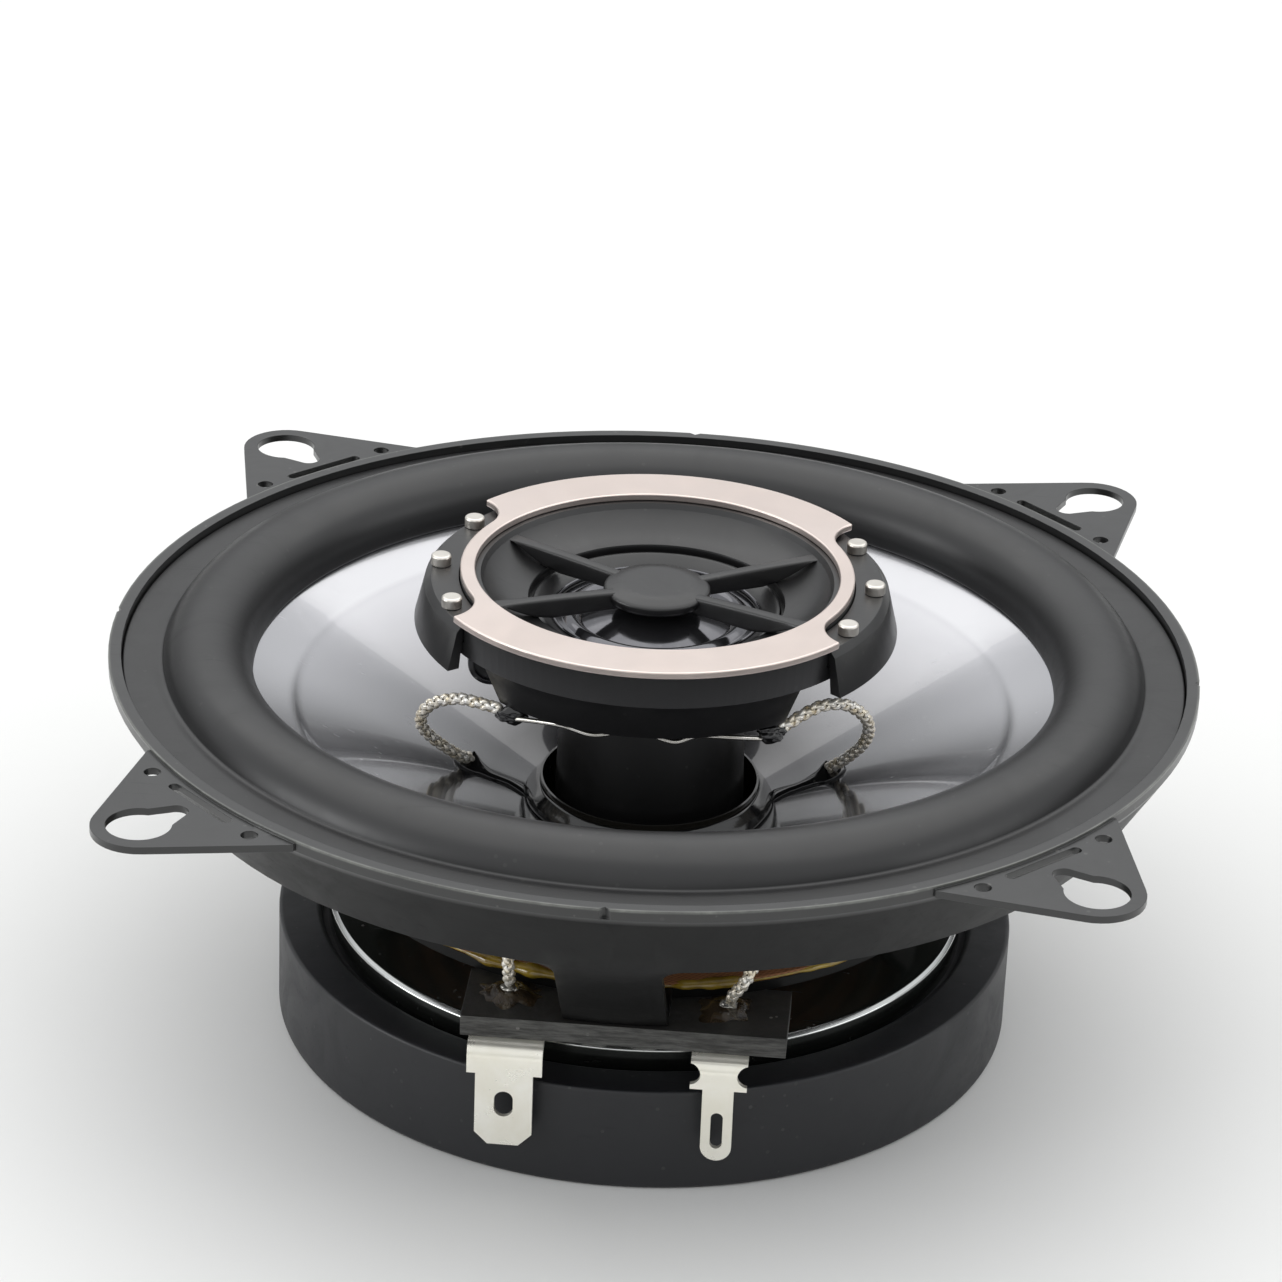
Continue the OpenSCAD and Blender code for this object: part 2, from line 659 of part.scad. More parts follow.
module tweeter_bezel() color(plastic) difference() {
    union() {
        disc(bezel_r, bezel_low, bezel_top);
        for (turn = [0, 180]) rotate([0, 0, turn]) intersection() {
            rotate_extrude() polygon([[skirt_low_r - skirt_t, skirt_low], [skirt_low_r, skirt_low],
                [bezel_r, bezel_low + eps], [bezel_r - skirt_t, bezel_low + eps]]);
            sector(skirt_half, 40, skirt_low - 1, bezel_low + 1);
        }
    }
    rotate_extrude() polygon([[0, bezel_low - 1], [throat_r, bezel_low - 1], [throat_r, throat_z],
        [throat_r + 2, throat_z + 0.3], [throat_r + 3.5, throat_z + 1],
        [horn_r, bezel_top + eps], [0, bezel_top + eps]]);
    // pockets for the two wings
    for (turn = [90, 270]) rotate([0, 0, turn]) intersection() {
        ring(bezel_r + 1, wing_in_r - wing_gap, wing_plate_low - wing_gap, bezel_top + eps);
        sector(wing_half + 0.4, 40, 0, trim_top);
    }
    for (turn = [30 : 120 : 270]) rotate([0, 0, turn])
        translate([cup_r + 2.2, 0, bezel_low - eps]) cylinder(r = 0.7, h = 1.2);
}

// Three screws that hold the cup under the bezel
module bezel_screws() color("silver") for (turn = [30 : 120 : 270]) rotate([0, 0, turn])
    translate([cup_r + 2.2, 0, bezel_low - cup_flange_t - 0.8]) {
        cylinder(r = 1.6, h = 0.8);
        cylinder(r = 0.65, h = 0.8 + cup_flange_t + 1.1);
    }

module vane_grille() color(plastic) {
    rotate_extrude() polygon([[0, vane_low], [hub_r - 0.4, vane_low], [hub_r, vane_low + 0.4],
        [hub_r, vane_top - 0.1], [hub_r - 0.5, vane_top + 0.1], [0, vane_top + 0.3]]);
    for (turn = [-vane_angle, vane_angle, 180 - vane_angle, 180 + vane_angle])
        rotate([90, 0, turn]) translate([0, 0, -vane_t / 2]) linear_extrude(vane_t)
            polygon([[hub_r - 1, vane_low], [hub_r, vane_foot], [throat_r - 1, vane_foot],
                [throat_r, vane_low], [throat_r + 2, throat_z + 0.3],
                [throat_r + 3.5, throat_z + 1], [horn_r - 0.3, bezel_top - 0.42],
                [throat_r + 2, vane_crest], [hub_r + 4, vane_crest - 0.15],
                [hub_r - 1, vane_top]]);
}

// Trim ring in plan: wide arcs front and rear, a thin side past each wing, scalloped at the studs
module trim_ring() color([0.85, 0.8, 0.76]) translate([0, 0, bezel_top]) difference() {
    union() {
        ring(side_trim_r, trim_hole_r, 0, trim_t);
        difference() {
            ring(bezel_r + trim_over, trim_hole_r, 0, trim_t);
            for (turn = [90, 270]) rotate([0, 0, turn]) sector(stud_turn, 40, -1, trim_t + 1);
        }
    }
    for (turn = [90, 270], side = [-1, 1]) rotate([0, 0, turn + side * stud_turn])
        translate([0, -side_trim_r - scallop_r, -eps]) cylinder(r = scallop_r, h = trim_t + 2 * eps);
}

module wing() difference() {
    intersection() {
        rotate_extrude() polygon([[wing_in_r, wing_plate_low], [bezel_r + wing_gap, wing_plate_low],
            [wing_low_r - wing_t, wing_low], [wing_low_r, wing_low],
            [wing_top_r + 0.2, wing_top - 0.6], [wing_top_r - 0.4, wing_top], [wing_in_r, wing_top]]);
        sector(wing_half, 40, 0, trim_top);
    }
    for (turn = [-stud_turn, 0, stud_turn]) rotate([0, 0, turn])
        translate([0, -stud_circle_r, wing_plate_low - eps]) cylinder(r = stud_pin_r, h = 3);
}

module wing_left() color(plastic) rotate([0, 0, -90]) wing();

module wing_right() color(plastic) rotate([0, 0, 90]) wing();

module wing_studs() color("silver") for (turn = [-90, 90], step = [-stud_turn, 0, stud_turn])
    rotate([0, 0, turn + step]) translate([0, -stud_circle_r, 0]) {
        disc(stud_pin_r, wing_plate_low, wing_top);
        disc(stud_r, wing_top, wing_top + 0.9);
        translate([0, 0, wing_top + 0.9]) cylinder(r1 = stud_r, r2 = stud_r - 0.15, h = 0.15);
    }

module capacitor() color([0.08, 0.08, 0.1]) capacitor_body(0);

module crossover_wires() color("silver") {
    tube(wire_left_route, wire_r);
    tube(wire_right_route, wire_r);
}

basket();
surround();
cone();
spider();
coil_former();
voice_coil();
neck_glue();
lead_pads();
front_plate();
ferrite_magnet();
yoke();
magnet_boot();
terminal_board();
board_rivets();
wide_terminal();
narrow_terminal();
terminal_eyelets();
terminal_lead_left();
terminal_lead_right();
tweeter_lead_left();
tweeter_lead_right();
tweeter_post();
post_screw();
tweeter_cup();
tweeter_pot();
tweeter_magnet();
tweeter_pole();
diaphragm_ring();
dome_edge();
tweeter_dome();
tweeter_coil();
tweeter_bezel();
bezel_screws();
vane_grille();
trim_ring();
wing_left();
wing_right();
wing_studs();
capacitor();
crossover_wires();
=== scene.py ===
# Four-inch coaxial speaker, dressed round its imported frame
import math

import bmesh
import bpy
import numpy as np
from mathutils import Matrix, Vector


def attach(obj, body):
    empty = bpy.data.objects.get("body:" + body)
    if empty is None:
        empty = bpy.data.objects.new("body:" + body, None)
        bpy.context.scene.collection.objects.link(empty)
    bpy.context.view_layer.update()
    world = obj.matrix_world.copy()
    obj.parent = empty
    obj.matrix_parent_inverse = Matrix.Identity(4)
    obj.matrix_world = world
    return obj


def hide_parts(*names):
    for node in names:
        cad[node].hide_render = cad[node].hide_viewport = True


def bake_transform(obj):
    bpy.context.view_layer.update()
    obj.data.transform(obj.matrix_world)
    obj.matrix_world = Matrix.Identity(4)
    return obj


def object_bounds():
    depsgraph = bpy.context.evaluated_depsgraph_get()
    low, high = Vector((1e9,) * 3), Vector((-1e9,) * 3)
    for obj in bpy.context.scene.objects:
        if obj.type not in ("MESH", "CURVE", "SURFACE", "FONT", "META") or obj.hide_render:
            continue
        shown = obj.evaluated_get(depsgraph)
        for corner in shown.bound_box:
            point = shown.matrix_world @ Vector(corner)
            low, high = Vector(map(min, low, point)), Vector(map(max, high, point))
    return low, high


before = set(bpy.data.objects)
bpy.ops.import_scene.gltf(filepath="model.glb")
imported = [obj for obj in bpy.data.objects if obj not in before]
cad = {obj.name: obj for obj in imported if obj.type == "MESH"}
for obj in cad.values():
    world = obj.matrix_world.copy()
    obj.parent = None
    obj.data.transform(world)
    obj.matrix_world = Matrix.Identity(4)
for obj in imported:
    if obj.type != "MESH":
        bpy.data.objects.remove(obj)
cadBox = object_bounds()
frameBody = "frame_and_motor"
coneBody = "cone_assembly"
domeBody = "tweeter_diaphragm"
mm = 0.001
print("frame loaded:", len(cad), "nodes")

# Camera and room

cameraSetup = {
    "azimuth": 3.929, "elevation": 25.875, "roll": 2.2, "distance": 433.93,
    "slideRight": -1.313, "slideUp": 0.416, "lens": 129.8, "sensor": 36,
}
room = {
    "floorColour": (0.78, 0.78, 0.77), "floorSize": 9.0, "skyColour": (0.97, 0.985, 1.0), "skyStrength": 0.95,
    "horizonStrength": 0.1,
    # name, place, aim, width, height, watts, colour
    "lights": [
        ("topSoftbox", (0.0, 0.5, 1.6), (0, 0.1, 0), 3.0, 2.4, 22.0, (1.0, 0.99, 0.97)),
        ("leftPanel", (-1.6, -0.55, 0.42), (0, 0, 0), 1.1, 0.6, 8.5, (0.98, 0.99, 1.0)),
        ("rightPanel", (1.7, -0.3, 0.45), (0, 0, 0), 1.1, 0.6, 3.0, (0.98, 0.99, 1.0)),
        ("frontStrip", (-0.1, -1.5, 0.28), (0, 0, -0.02), 1.2, 0.25, 0.6, (1, 1, 0.98)),
    ],
}


def setCamera(c):
    # Basis from azimuth and elevation, turned about the view by the roll
    az, el, roll = (math.radians(c[k]) for k in ("azimuth", "elevation", "roll"))
    back = Vector((math.sin(az) * math.cos(el), -math.cos(az) * math.cos(el), math.sin(el)))
    right = (-back).cross(Vector((0, 0, 1))).normalized()
    up = right.cross(-back)
    x = math.cos(roll) * right + math.sin(roll) * up
    y = math.cos(roll) * up - math.sin(roll) * right
    place = (back * c["distance"] + right * c["slideRight"] + up * c["slideUp"]) * mm
    data = bpy.data.cameras.new("viewCamera")
    data.lens, data.sensor_width, data.clip_start = c["lens"], c["sensor"], 0.01
    camera = bpy.data.objects.new("viewCamera", data)
    camera.matrix_world = Matrix((
        (x[0], y[0], back[0], place[0]), (x[1], y[1], back[1], place[1]),
        (x[2], y[2], back[2], place[2]), (0, 0, 0, 1)))
    bpy.context.scene.collection.objects.link(camera)
    bpy.context.scene.camera = camera


def addLight(name, place, aim, width, height, watts, colour):
    data = bpy.data.lights.new(name, "AREA")
    data.shape, data.size, data.size_y = "RECTANGLE", width, height
    data.energy, data.color = watts, colour
    light = bpy.data.objects.new(name, data)
    light.location = place
    light.rotation_euler = (Vector(aim) - Vector(place)).to_track_quat("-Z", "Y").to_euler()
    bpy.context.scene.collection.objects.link(light)


setCamera(cameraSetup)
for entry in room["lights"]:
    addLight(*entry)
world = bpy.data.worlds.new("studioWorld")
world.use_nodes = True
skyTree = world.node_tree
skyPlace = skyTree.nodes.new("ShaderNodeTexCoord")
skySplit = skyTree.nodes.new("ShaderNodeSeparateXYZ")
skyRange = skyTree.nodes.new("ShaderNodeMapRange")  # dim at the horizon, full from about 25 degrees up
skyRange.interpolation_type = "SMOOTHSTEP"
skyTree.links.new(skyPlace.outputs["Generated"], skySplit.inputs[0])
skyTree.links.new(skySplit.outputs[2], skyRange.inputs["Value"])
for label, value in (("From Min", 0.08), ("From Max", 0.42), ("To Min", room["horizonStrength"]),
    ("To Max", room["skyStrength"])):
    skyRange.inputs[label].default_value = value
skyTree.links.new(skyRange.outputs["Result"], skyTree.nodes["Background"].inputs[1])
skyTree.nodes["Background"].inputs[0].default_value = (*room["skyColour"], 1)
bpy.context.scene.world = world
bpy.context.scene.view_settings.view_transform = "Standard"
print("camera and lights set")

# Shader groups: each gives only masks, heights or colours


def newGroup(name, inputs, outputs):
    tree = bpy.data.node_groups.new(name, "ShaderNodeTree")
    for label, kind, value in inputs:
        socket = tree.interface.new_socket(name=label, in_out="INPUT", socket_type=kind)
        if value is not None:
            socket.default_value = value
    for label, kind in outputs:
        tree.interface.new_socket(name=label, in_out="OUTPUT", socket_type=kind)
    return tree, tree.nodes.new("NodeGroupInput"), tree.nodes.new("NodeGroupOutput")


def addNode(tree, kind, links=(), **values):
    # A node with its plain settings, and links given as (input name, output socket)
    node = tree.nodes.new(kind)
    for key, value in values.items():
        setattr(node, key, value)
    for target, source in links:
        if isinstance(source, (int, float, tuple)):
            node.inputs[target].default_value = source
        else:
            tree.links.new(source, node.inputs[target])
    return node


def mathNode(tree, operation, a, b=None, c=None):
    node = tree.nodes.new("ShaderNodeMath")
    node.operation = operation
    for i, value in enumerate((a, b, c)):
        if value is None:
            continue
        if isinstance(value, (int, float)):
            node.inputs[i].default_value = value
        else:
            tree.links.new(value, node.inputs[i])
    return node.outputs[0]


def noiseNode(tree, vector, scale, detail=3.0, rough=0.55, distortion=0.0):
    node = tree.nodes.new("ShaderNodeTexNoise")
    tree.links.new(vector, node.inputs["Vector"])
    if isinstance(scale, (int, float)):
        node.inputs["Scale"].default_value = scale
    else:
        tree.links.new(scale, node.inputs["Scale"])
    node.inputs["Detail"].default_value = detail
    node.inputs["Roughness"].default_value = rough
    node.inputs["Distortion"].default_value = distortion
    return node.outputs["Fac"]


def ramp(tree, value, low, high):
    # Straight-line step from 0 at low to 1 at high
    node = tree.nodes.new("ShaderNodeMapRange")
    tree.links.new(value, node.inputs["Value"])
    node.inputs["From Min"].default_value = low
    node.inputs["From Max"].default_value = high
    return node.outputs["Result"]


def blendColours(tree, factor, a, b):
    node = tree.nodes.new("ShaderNodeMix")
    node.data_type = "RGBA"
    if isinstance(factor, (int, float)):
        node.inputs[0].default_value = factor
    else:
        tree.links.new(factor, node.inputs[0])
    for i, value in ((6, a), (7, b)):
        if isinstance(value, tuple):
            node.inputs[i].default_value = (*value[:3], 1)
        else:
            tree.links.new(value, node.inputs[i])
    return node.outputs[2]


def buildGrain():
    # Fine surface grain: two sizes of noise for the height, a wide one for the drift of tone
    tree, start, end = newGroup("surfaceGrain", [
        ("Vector", "NodeSocketVector", None), ("Scale", "NodeSocketFloat", 3000.0),
        ("Drift Scale", "NodeSocketFloat", 60.0)],
        [("Height", "NodeSocketFloat"), ("Drift", "NodeSocketFloat"), ("Fleck", "NodeSocketFloat")])
    vector = start.outputs["Vector"]
    fine = noiseNode(tree, vector, start.outputs["Scale"], 2.0, 0.5)
    coarse = noiseNode(tree, vector, mathNode(tree, "MULTIPLY", start.outputs["Scale"], 0.18), 3.0, 0.6)
    height = mathNode(tree, "ADD", mathNode(tree, "MULTIPLY", fine, 0.6),
        mathNode(tree, "MULTIPLY", coarse, 0.4))
    drift = ramp(tree, noiseNode(tree, vector, start.outputs["Drift Scale"], 4.0, 0.62, 0.4), 0.32, 0.68)
    fleck = ramp(tree, fine, 0.62, 0.78)
    tree.links.new(height, end.inputs["Height"])
    tree.links.new(drift, end.inputs["Drift"])
    tree.links.new(fleck, end.inputs["Fleck"])
    return tree


def buildHandling():
    # Smears, short scratches and settled dust, as three masks
    tree, start, end = newGroup("handlingMarks", [
        ("Vector", "NodeSocketVector", None), ("Size", "NodeSocketFloat", 120.0)],
        [("Smear", "NodeSocketFloat"), ("Scratch", "NodeSocketFloat"), ("Dust", "NodeSocketFloat")])
    vector = start.outputs["Vector"]
    smear = ramp(tree, noiseNode(tree, vector, start.outputs["Size"], 5.0, 0.7, 1.2), 0.42, 0.72)
    stretched = addNode(tree, "ShaderNodeMapping", [("Vector", vector), ("Rotation", (0.3, 0.5, 0.9)),
        ("Scale", (1.0, 22.0, 9.0))])
    scratch = ramp(tree, noiseNode(tree, stretched.outputs[0],
        mathNode(tree, "MULTIPLY", start.outputs["Size"], 1.4), 2.0, 0.4), 0.69, 0.74)
    cells = addNode(tree, "ShaderNodeTexVoronoi", [("Vector", vector), ("Scale", 700.0), ("Randomness", 1.0)])
    speck = mathNode(tree, "LESS_THAN", cells.outputs["Distance"], 0.13)
    few = ramp(tree, noiseNode(tree, vector, 330.0, 1.0, 0.5), 0.5, 0.62)
    tree.links.new(smear, end.inputs["Smear"])
    tree.links.new(scratch, end.inputs["Scratch"])
    tree.links.new(mathNode(tree, "MULTIPLY", speck, few), end.inputs["Dust"])
    return tree


def buildRadius():
    # Distance from the speaker's axis and height, both in millimetres
    tree, start, end = newGroup("axisDistance", [("Vector", "NodeSocketVector", None)],
        [("Radius", "NodeSocketFloat"), ("Height", "NodeSocketFloat"), ("Turn", "NodeSocketFloat")])
    parts = addNode(tree, "ShaderNodeSeparateXYZ", [("Vector", start.outputs["Vector"])])
    x, y, z = parts.outputs
    radius = mathNode(tree, "SQRT", mathNode(tree, "ADD", mathNode(tree, "MULTIPLY", x, x),
        mathNode(tree, "MULTIPLY", y, y)))
    tree.links.new(mathNode(tree, "MULTIPLY", radius, 1000.0), end.inputs["Radius"])
    tree.links.new(mathNode(tree, "MULTIPLY", z, 1000.0), end.inputs["Height"])
    tree.links.new(mathNode(tree, "ARCTAN2", y, x), end.inputs["Turn"])
    return tree


grainGroup, handlingGroup, radiusGroup = buildGrain(), buildHandling(), buildRadius()

finishes = {
    # colour, second colour, rough from, rough to, metallic, coat, coat rough, grain scale, bump, drift scale, dust
    "basketSteel": dict(slot="basket_steel", colour=(0.013, 0.0133, 0.0133), drift=(0.0095, 0.0098, 0.0098),
        rough=(0.34, 0.45),
        metallic=0.0, coat=0.45, coatRough=0.3, grain=2600, bump=0.05, driftScale=70, dust=0.1),
    "blackPlate": dict(slot="black_steel", colour=(0.02, 0.023, 0.02), drift=(0.013, 0.014, 0.012),
    rough=(0.16, 0.3),
        metallic=0.1, coat=0.6, coatRough=0.12, grain=1500, bump=0.02, driftScale=90, dust=0.3),
    "surroundRubber": dict(slot="rubber", colour=(0.0105, 0.0105, 0.011), drift=(0.0075, 0.0075, 0.008),
    rough=(0.38, 0.47),
        metallic=0.0, coat=0.2, coatRough=0.3, grain=3400, bump=0.05, driftScale=45, dust=0.03),
    "bootRubber": dict(slot="boot_rubber", colour=(0.0125, 0.013, 0.0155), drift=(0.0095, 0.01, 0.012),
    rough=(0.42, 0.55),
        metallic=0.0, coat=0.0, coatRough=0.3, grain=2600, bump=0.06, driftScale=40, dust=0.06),
    "greyPlastic": dict(slot="grey_plastic", colour=(0.009, 0.009, 0.0095), drift=(0.0065, 0.0065, 0.007),
    rough=(0.34, 0.45),
        metallic=0.0, coat=0.3, coatRough=0.3, grain=4200, bump=0.06, driftScale=110, dust=0.03),
    "ferrite": dict(slot="ferrite", colour=(0.06, 0.06, 0.063), drift=(0.045, 0.045, 0.047), rough=(0.6, 0.8),
        metallic=0.2, coat=0.0, coatRough=0.3, grain=1800, bump=0.2, driftScale=120, dust=0.2),
    "zincSteel": dict(slot="zinc_steel", colour=(0.62, 0.62, 0.6), drift=(0.5, 0.5, 0.47), rough=(0.28, 0.45),
        metallic=1.0, coat=0.0, coatRough=0.3, grain=1600, bump=0.05, driftScale=80, dust=0.05),
    "studSteel": dict(slot="zinc_steel", colour=(0.76, 0.73, 0.68), drift=(0.66, 0.63, 0.58),
    rough=(0.34, 0.46),
        metallic=1.0, coat=0.0, coatRough=0.3, grain=2400, bump=0.04, driftScale=300, dust=0.0),
    "tinnedBrass": dict(slot="tinned_brass", colour=(0.98, 0.96, 0.88), drift=(0.9, 0.87, 0.76),
    rough=(0.27, 0.42),
        metallic=0.75, coat=0.0, coatRough=0.3, grain=1200, bump=0.07, driftScale=220, dust=0.0),
    "solder": dict(slot="tinned_brass", colour=(0.55, 0.54, 0.5), drift=(0.2, 0.19, 0.17), rough=(0.2, 0.42),
        metallic=0.9, coat=0.0, coatRough=0.3, grain=900, bump=0.25, driftScale=600, dust=0.0),
    "champagne": dict(slot="champagne_metal", colour=(0.8, 0.7, 0.65), drift=(0.74, 0.64, 0.59),
    rough=(0.3, 0.4),
        metallic=0.9, coat=0.15, coatRough=0.25, grain=4600, bump=0.025, driftScale=60, dust=0.0),
    "blackGlue": dict(slot="black_glue", colour=(0.006, 0.006, 0.006), drift=(0.01, 0.01, 0.011),
    rough=(0.1, 0.22),
        metallic=0.0, coat=0.5, coatRough=0.06, grain=350, bump=0.05, driftScale=300, dust=0.2),
    "amberGlue": dict(slot="spider_cloth", colour=(0.36, 0.25, 0.028), drift=(0.12, 0.07, 0.008),
    rough=(0.12, 0.3),
        metallic=0.0, coat=0.7, coatRough=0.08, grain=500, bump=0.2, driftScale=260, dust=0.1),
    "postPaint": dict(slot="black_steel", colour=(0.006, 0.006, 0.006), drift=(0.009, 0.009, 0.009),
    rough=(0.3, 0.45),
        metallic=0.0, coat=0.0, coatRough=0.1, grain=2000, bump=0.05, driftScale=90, dust=0.05),
    "flux": dict(slot="black_glue", colour=(0.014, 0.01, 0.006), drift=(0.055, 0.038, 0.02), rough=(0.12, 0.35),
        metallic=0.0, coat=0.5, coatRough=0.1, grain=800, bump=0.3, driftScale=900, dust=0.2),
    "formerFilm": dict(slot="former_film", colour=(0.014, 0.013, 0.011), drift=(0.02, 0.018, 0.014),
    rough=(0.14, 0.26),
        metallic=0.0, coat=0.3, coatRough=0.1, grain=1200, bump=0.03, driftScale=120, dust=0.0),
    "enamelWire": dict(slot="enamelled_wire", colour=(0.5, 0.2, 0.07), drift=(0.36, 0.12, 0.04),
    rough=(0.2, 0.35),
        metallic=0.8, coat=0.3, coatRough=0.1, grain=2000, bump=0.1, driftScale=200, dust=0.0),
    "magnetChrome": dict(slot="chrome_magnet", colour=(0.7, 0.7, 0.7), drift=(0.6, 0.6, 0.6),
    rough=(0.15, 0.25),
        metallic=1.0, coat=0.0, coatRough=0.1, grain=1500, bump=0.02, driftScale=100, dust=0.0),
    "domeFilm": dict(slot="dome_film", colour=(0.15, 0.15, 0.16), drift=(0.11, 0.11, 0.12), rough=(0.1, 0.18),
        metallic=0.9, coat=0.0, coatRough=0.1, grain=1800, bump=0.02, driftScale=250, dust=0.1),
    "sleeve": dict(slot="sleeve", colour=(0.012, 0.012, 0.015), drift=(0.02, 0.02, 0.024), rough=(0.25, 0.4),
        metallic=0.0, coat=0.3, coatRough=0.2, grain=900, bump=0.05, driftScale=200, dust=0.3),
    "tinnedWire": dict(slot="tinned_wire", colour=(0.82, 0.8, 0.76), drift=(0.6, 0.58, 0.52), rough=(0.2, 0.35),
        metallic=1.0, coat=0.0, coatRough=0.1, grain=1500, bump=0.05, driftScale=500, dust=0.0),
    "fibreBoard": dict(slot="fibre_board", colour=(0.016, 0.016, 0.015), drift=(0.028, 0.027, 0.025),
    rough=(0.5, 0.75),
        metallic=0.0, coat=0.0, coatRough=0.1, grain=1400, bump=0.3, driftScale=260, dust=0.4),
    "coneFilm": dict(slot="cone_film", colour=(0.43, 0.43, 0.45), drift=(0.4, 0.4, 0.42), rough=(0.17, 0.23),
        metallic=0.85, coat=1.0, coatRough=0.03, grain=3000, bump=0.015, driftScale=30, dust=0.02),
    "spiderCloth": dict(slot="spider_cloth", colour=(0.19, 0.07, 0.022), drift=(0.12, 0.04, 0.012),
    rough=(0.6, 0.8),
        metallic=0.0, coat=0.0, coatRough=0.1, grain=2200, bump=0.3, driftScale=160, dust=0.0),
    "braid": dict(slot="braid", colour=(0.95, 0.94, 0.91), drift=(0.76, 0.66, 0.47), rough=(0.25, 0.42),
        metallic=0.6, coat=0.0, coatRough=0.1, grain=3000, bump=0.12, driftScale=900, dust=0.0),
}


def startMaterial(name, f):
    # Common body of every finish. Returns the tree and the sockets that a finish may add to
    material = bpy.data.materials.new(name)
    material.use_nodes = True
    tree = material.node_tree
    shader = tree.nodes["Principled BSDF"]
    shader.inputs["Metallic"].default_value = f["metallic"]
    shader.inputs["Coat Weight"].default_value = f["coat"]
    shader.inputs["Coat Roughness"].default_value = f["coatRough"]
    place = tree.nodes.new("ShaderNodeTexCoord").outputs["Object"]
    grain = addNode(tree, "ShaderNodeGroup", node_tree=grainGroup)
    marks = addNode(tree, "ShaderNodeGroup", node_tree=handlingGroup)
    for group in (grain, marks):
        tree.links.new(place, group.inputs["Vector"])
    grain.inputs["Scale"].default_value = float(f["grain"])
    grain.inputs["Drift Scale"].default_value = float(f["driftScale"])
    colour = blendColours(tree, grain.outputs["Drift"], f["colour"], f["drift"])
    worn = mathNode(tree, "MULTIPLY", marks.outputs["Dust"], f["dust"])
    colour = blendColours(tree, worn, colour, (0.4, 0.39, 0.37))
    rough = addNode(tree, "ShaderNodeMapRange", [("Value", marks.outputs["Smear"]), ("To Min", f["rough"][0]),
        ("To Max", f["rough"][1])])
    rough = mathNode(tree, "ADD", rough.outputs["Result"],
        mathNode(tree, "MULTIPLY", marks.outputs["Scratch"], 0.08))
    return dict(material=material, tree=tree, shader=shader, place=place, grain=grain, marks=marks,
        colour=colour, rough=rough,
        height=grain.outputs["Height"])


def finishMaterial(m, bump, distance=0.00004):
    tree, shader = m["tree"], m["shader"]
    tree.links.new(m["colour"], shader.inputs["Base Color"])
    tree.links.new(m["rough"], shader.inputs["Roughness"])
    node = addNode(tree, "ShaderNodeBump", [("Height", m["height"])])
    node.inputs["Strength"].default_value = bump
    node.inputs["Distance"].default_value = distance
    tree.links.new(node.outputs["Normal"], shader.inputs["Normal"])
    return m["material"]


def axisNode(m):
    group = addNode(m["tree"], "ShaderNodeGroup", node_tree=radiusGroup)
    m["tree"].links.new(m["place"], group.inputs["Vector"])
    return group


def paintBasket(m):
    # Paint rubbed thin along the upper outer corner of the rim, and painted shade on the wall and legs below it
    axis = axisNode(m)
    tree = m["tree"]
    out = mathNode(tree, "MULTIPLY", ramp(tree, axis.outputs["Radius"], 50.75, 50.9),
        mathNode(tree, "LESS_THAN", axis.outputs["Radius"], 51.03))
    high = ramp(tree, axis.outputs["Height"], -0.28, -0.12)
    flat = ramp(tree, axis.outputs["Height"], -1.7, -1.1)  # the pressed wall and legs get less coat than the rim, and painted shade in their colour
    shader = tree.nodes["Principled BSDF"]
    tree.links.new(mathNode(tree, "MULTIPLY", flat, 0.45), shader.inputs["Coat Weight"])
    tree.links.new(mathNode(tree, "ADD", mathNode(tree, "MULTIPLY", flat, 0.35), 0.15),
        shader.inputs["Specular IOR Level"])
    # Painted shade: the wall and legs below the rim take a near-black colour
    m["colour"] = blendColours(tree, flat, (0.006, 0.006, 0.006), m["colour"])
    broken = mathNode(tree, "MULTIPLY", mathNode(tree, "MULTIPLY", out, high),
        ramp(tree, m["marks"].outputs["Smear"], -0.5, 0.9))
    m["colour"] = blendColours(tree, broken, m["colour"], (0.16, 0.165, 0.15))


def paintPlate(m):
    # Rim chamfer painted pale as a painted highlight, with fine lathe lines; the upright side below it darker
    axis = axisNode(m)
    tree = m["tree"]
    band = mathNode(tree, "GREATER_THAN", axis.outputs["Radius"], 30.03)
    lines = mathNode(tree, "SINE", mathNode(tree, "MULTIPLY", axis.outputs["Height"], 60.0))
    side = mathNode(tree, "LESS_THAN", axis.outputs["Height"], -26.02)
    # Painted highlight: the rim band takes a pale metal colour
    paintedRimHighlight = blendColours(tree, ramp(tree, lines, -1.0, 1.0), (0.55, 0.56, 0.55), (0.7, 0.71, 0.7))
    paintedRimHighlight = blendColours(tree, side, paintedRimHighlight, (0.1, 0.108, 0.1))
    m["colour"] = blendColours(tree, band, m["colour"], paintedRimHighlight)
    tree.links.new(mathNode(tree, "MAXIMUM", mathNode(tree, "MULTIPLY", band, 0.95), 0.1),
        m["shader"].inputs["Metallic"])


def paintCone(m):
    # Very fine rings pressed in the film, a slightly paler outer band, and painted shade toward the neck
    axis = axisNode(m)
    tree = m["tree"]
    rings = mathNode(tree, "SINE", mathNode(tree, "MULTIPLY", axis.outputs["Radius"], 22.0))
    m["height"] = mathNode(tree, "ADD", m["height"], mathNode(tree, "MULTIPLY", rings, 0.05))
    outer = ramp(tree, axis.outputs["Radius"], 33.6, 34.1)
    m["colour"] = blendColours(tree, mathNode(tree, "MULTIPLY", outer, 0.6), m["colour"], (0.49, 0.49, 0.51))
    inner = ramp(tree, axis.outputs["Radius"], 15.0, 33.0)  # painted shade: the silver darkens toward the neck, under the tweeter
    m["colour"] = blendColours(tree, inner, (0.04, 0.04, 0.043), m["colour"])


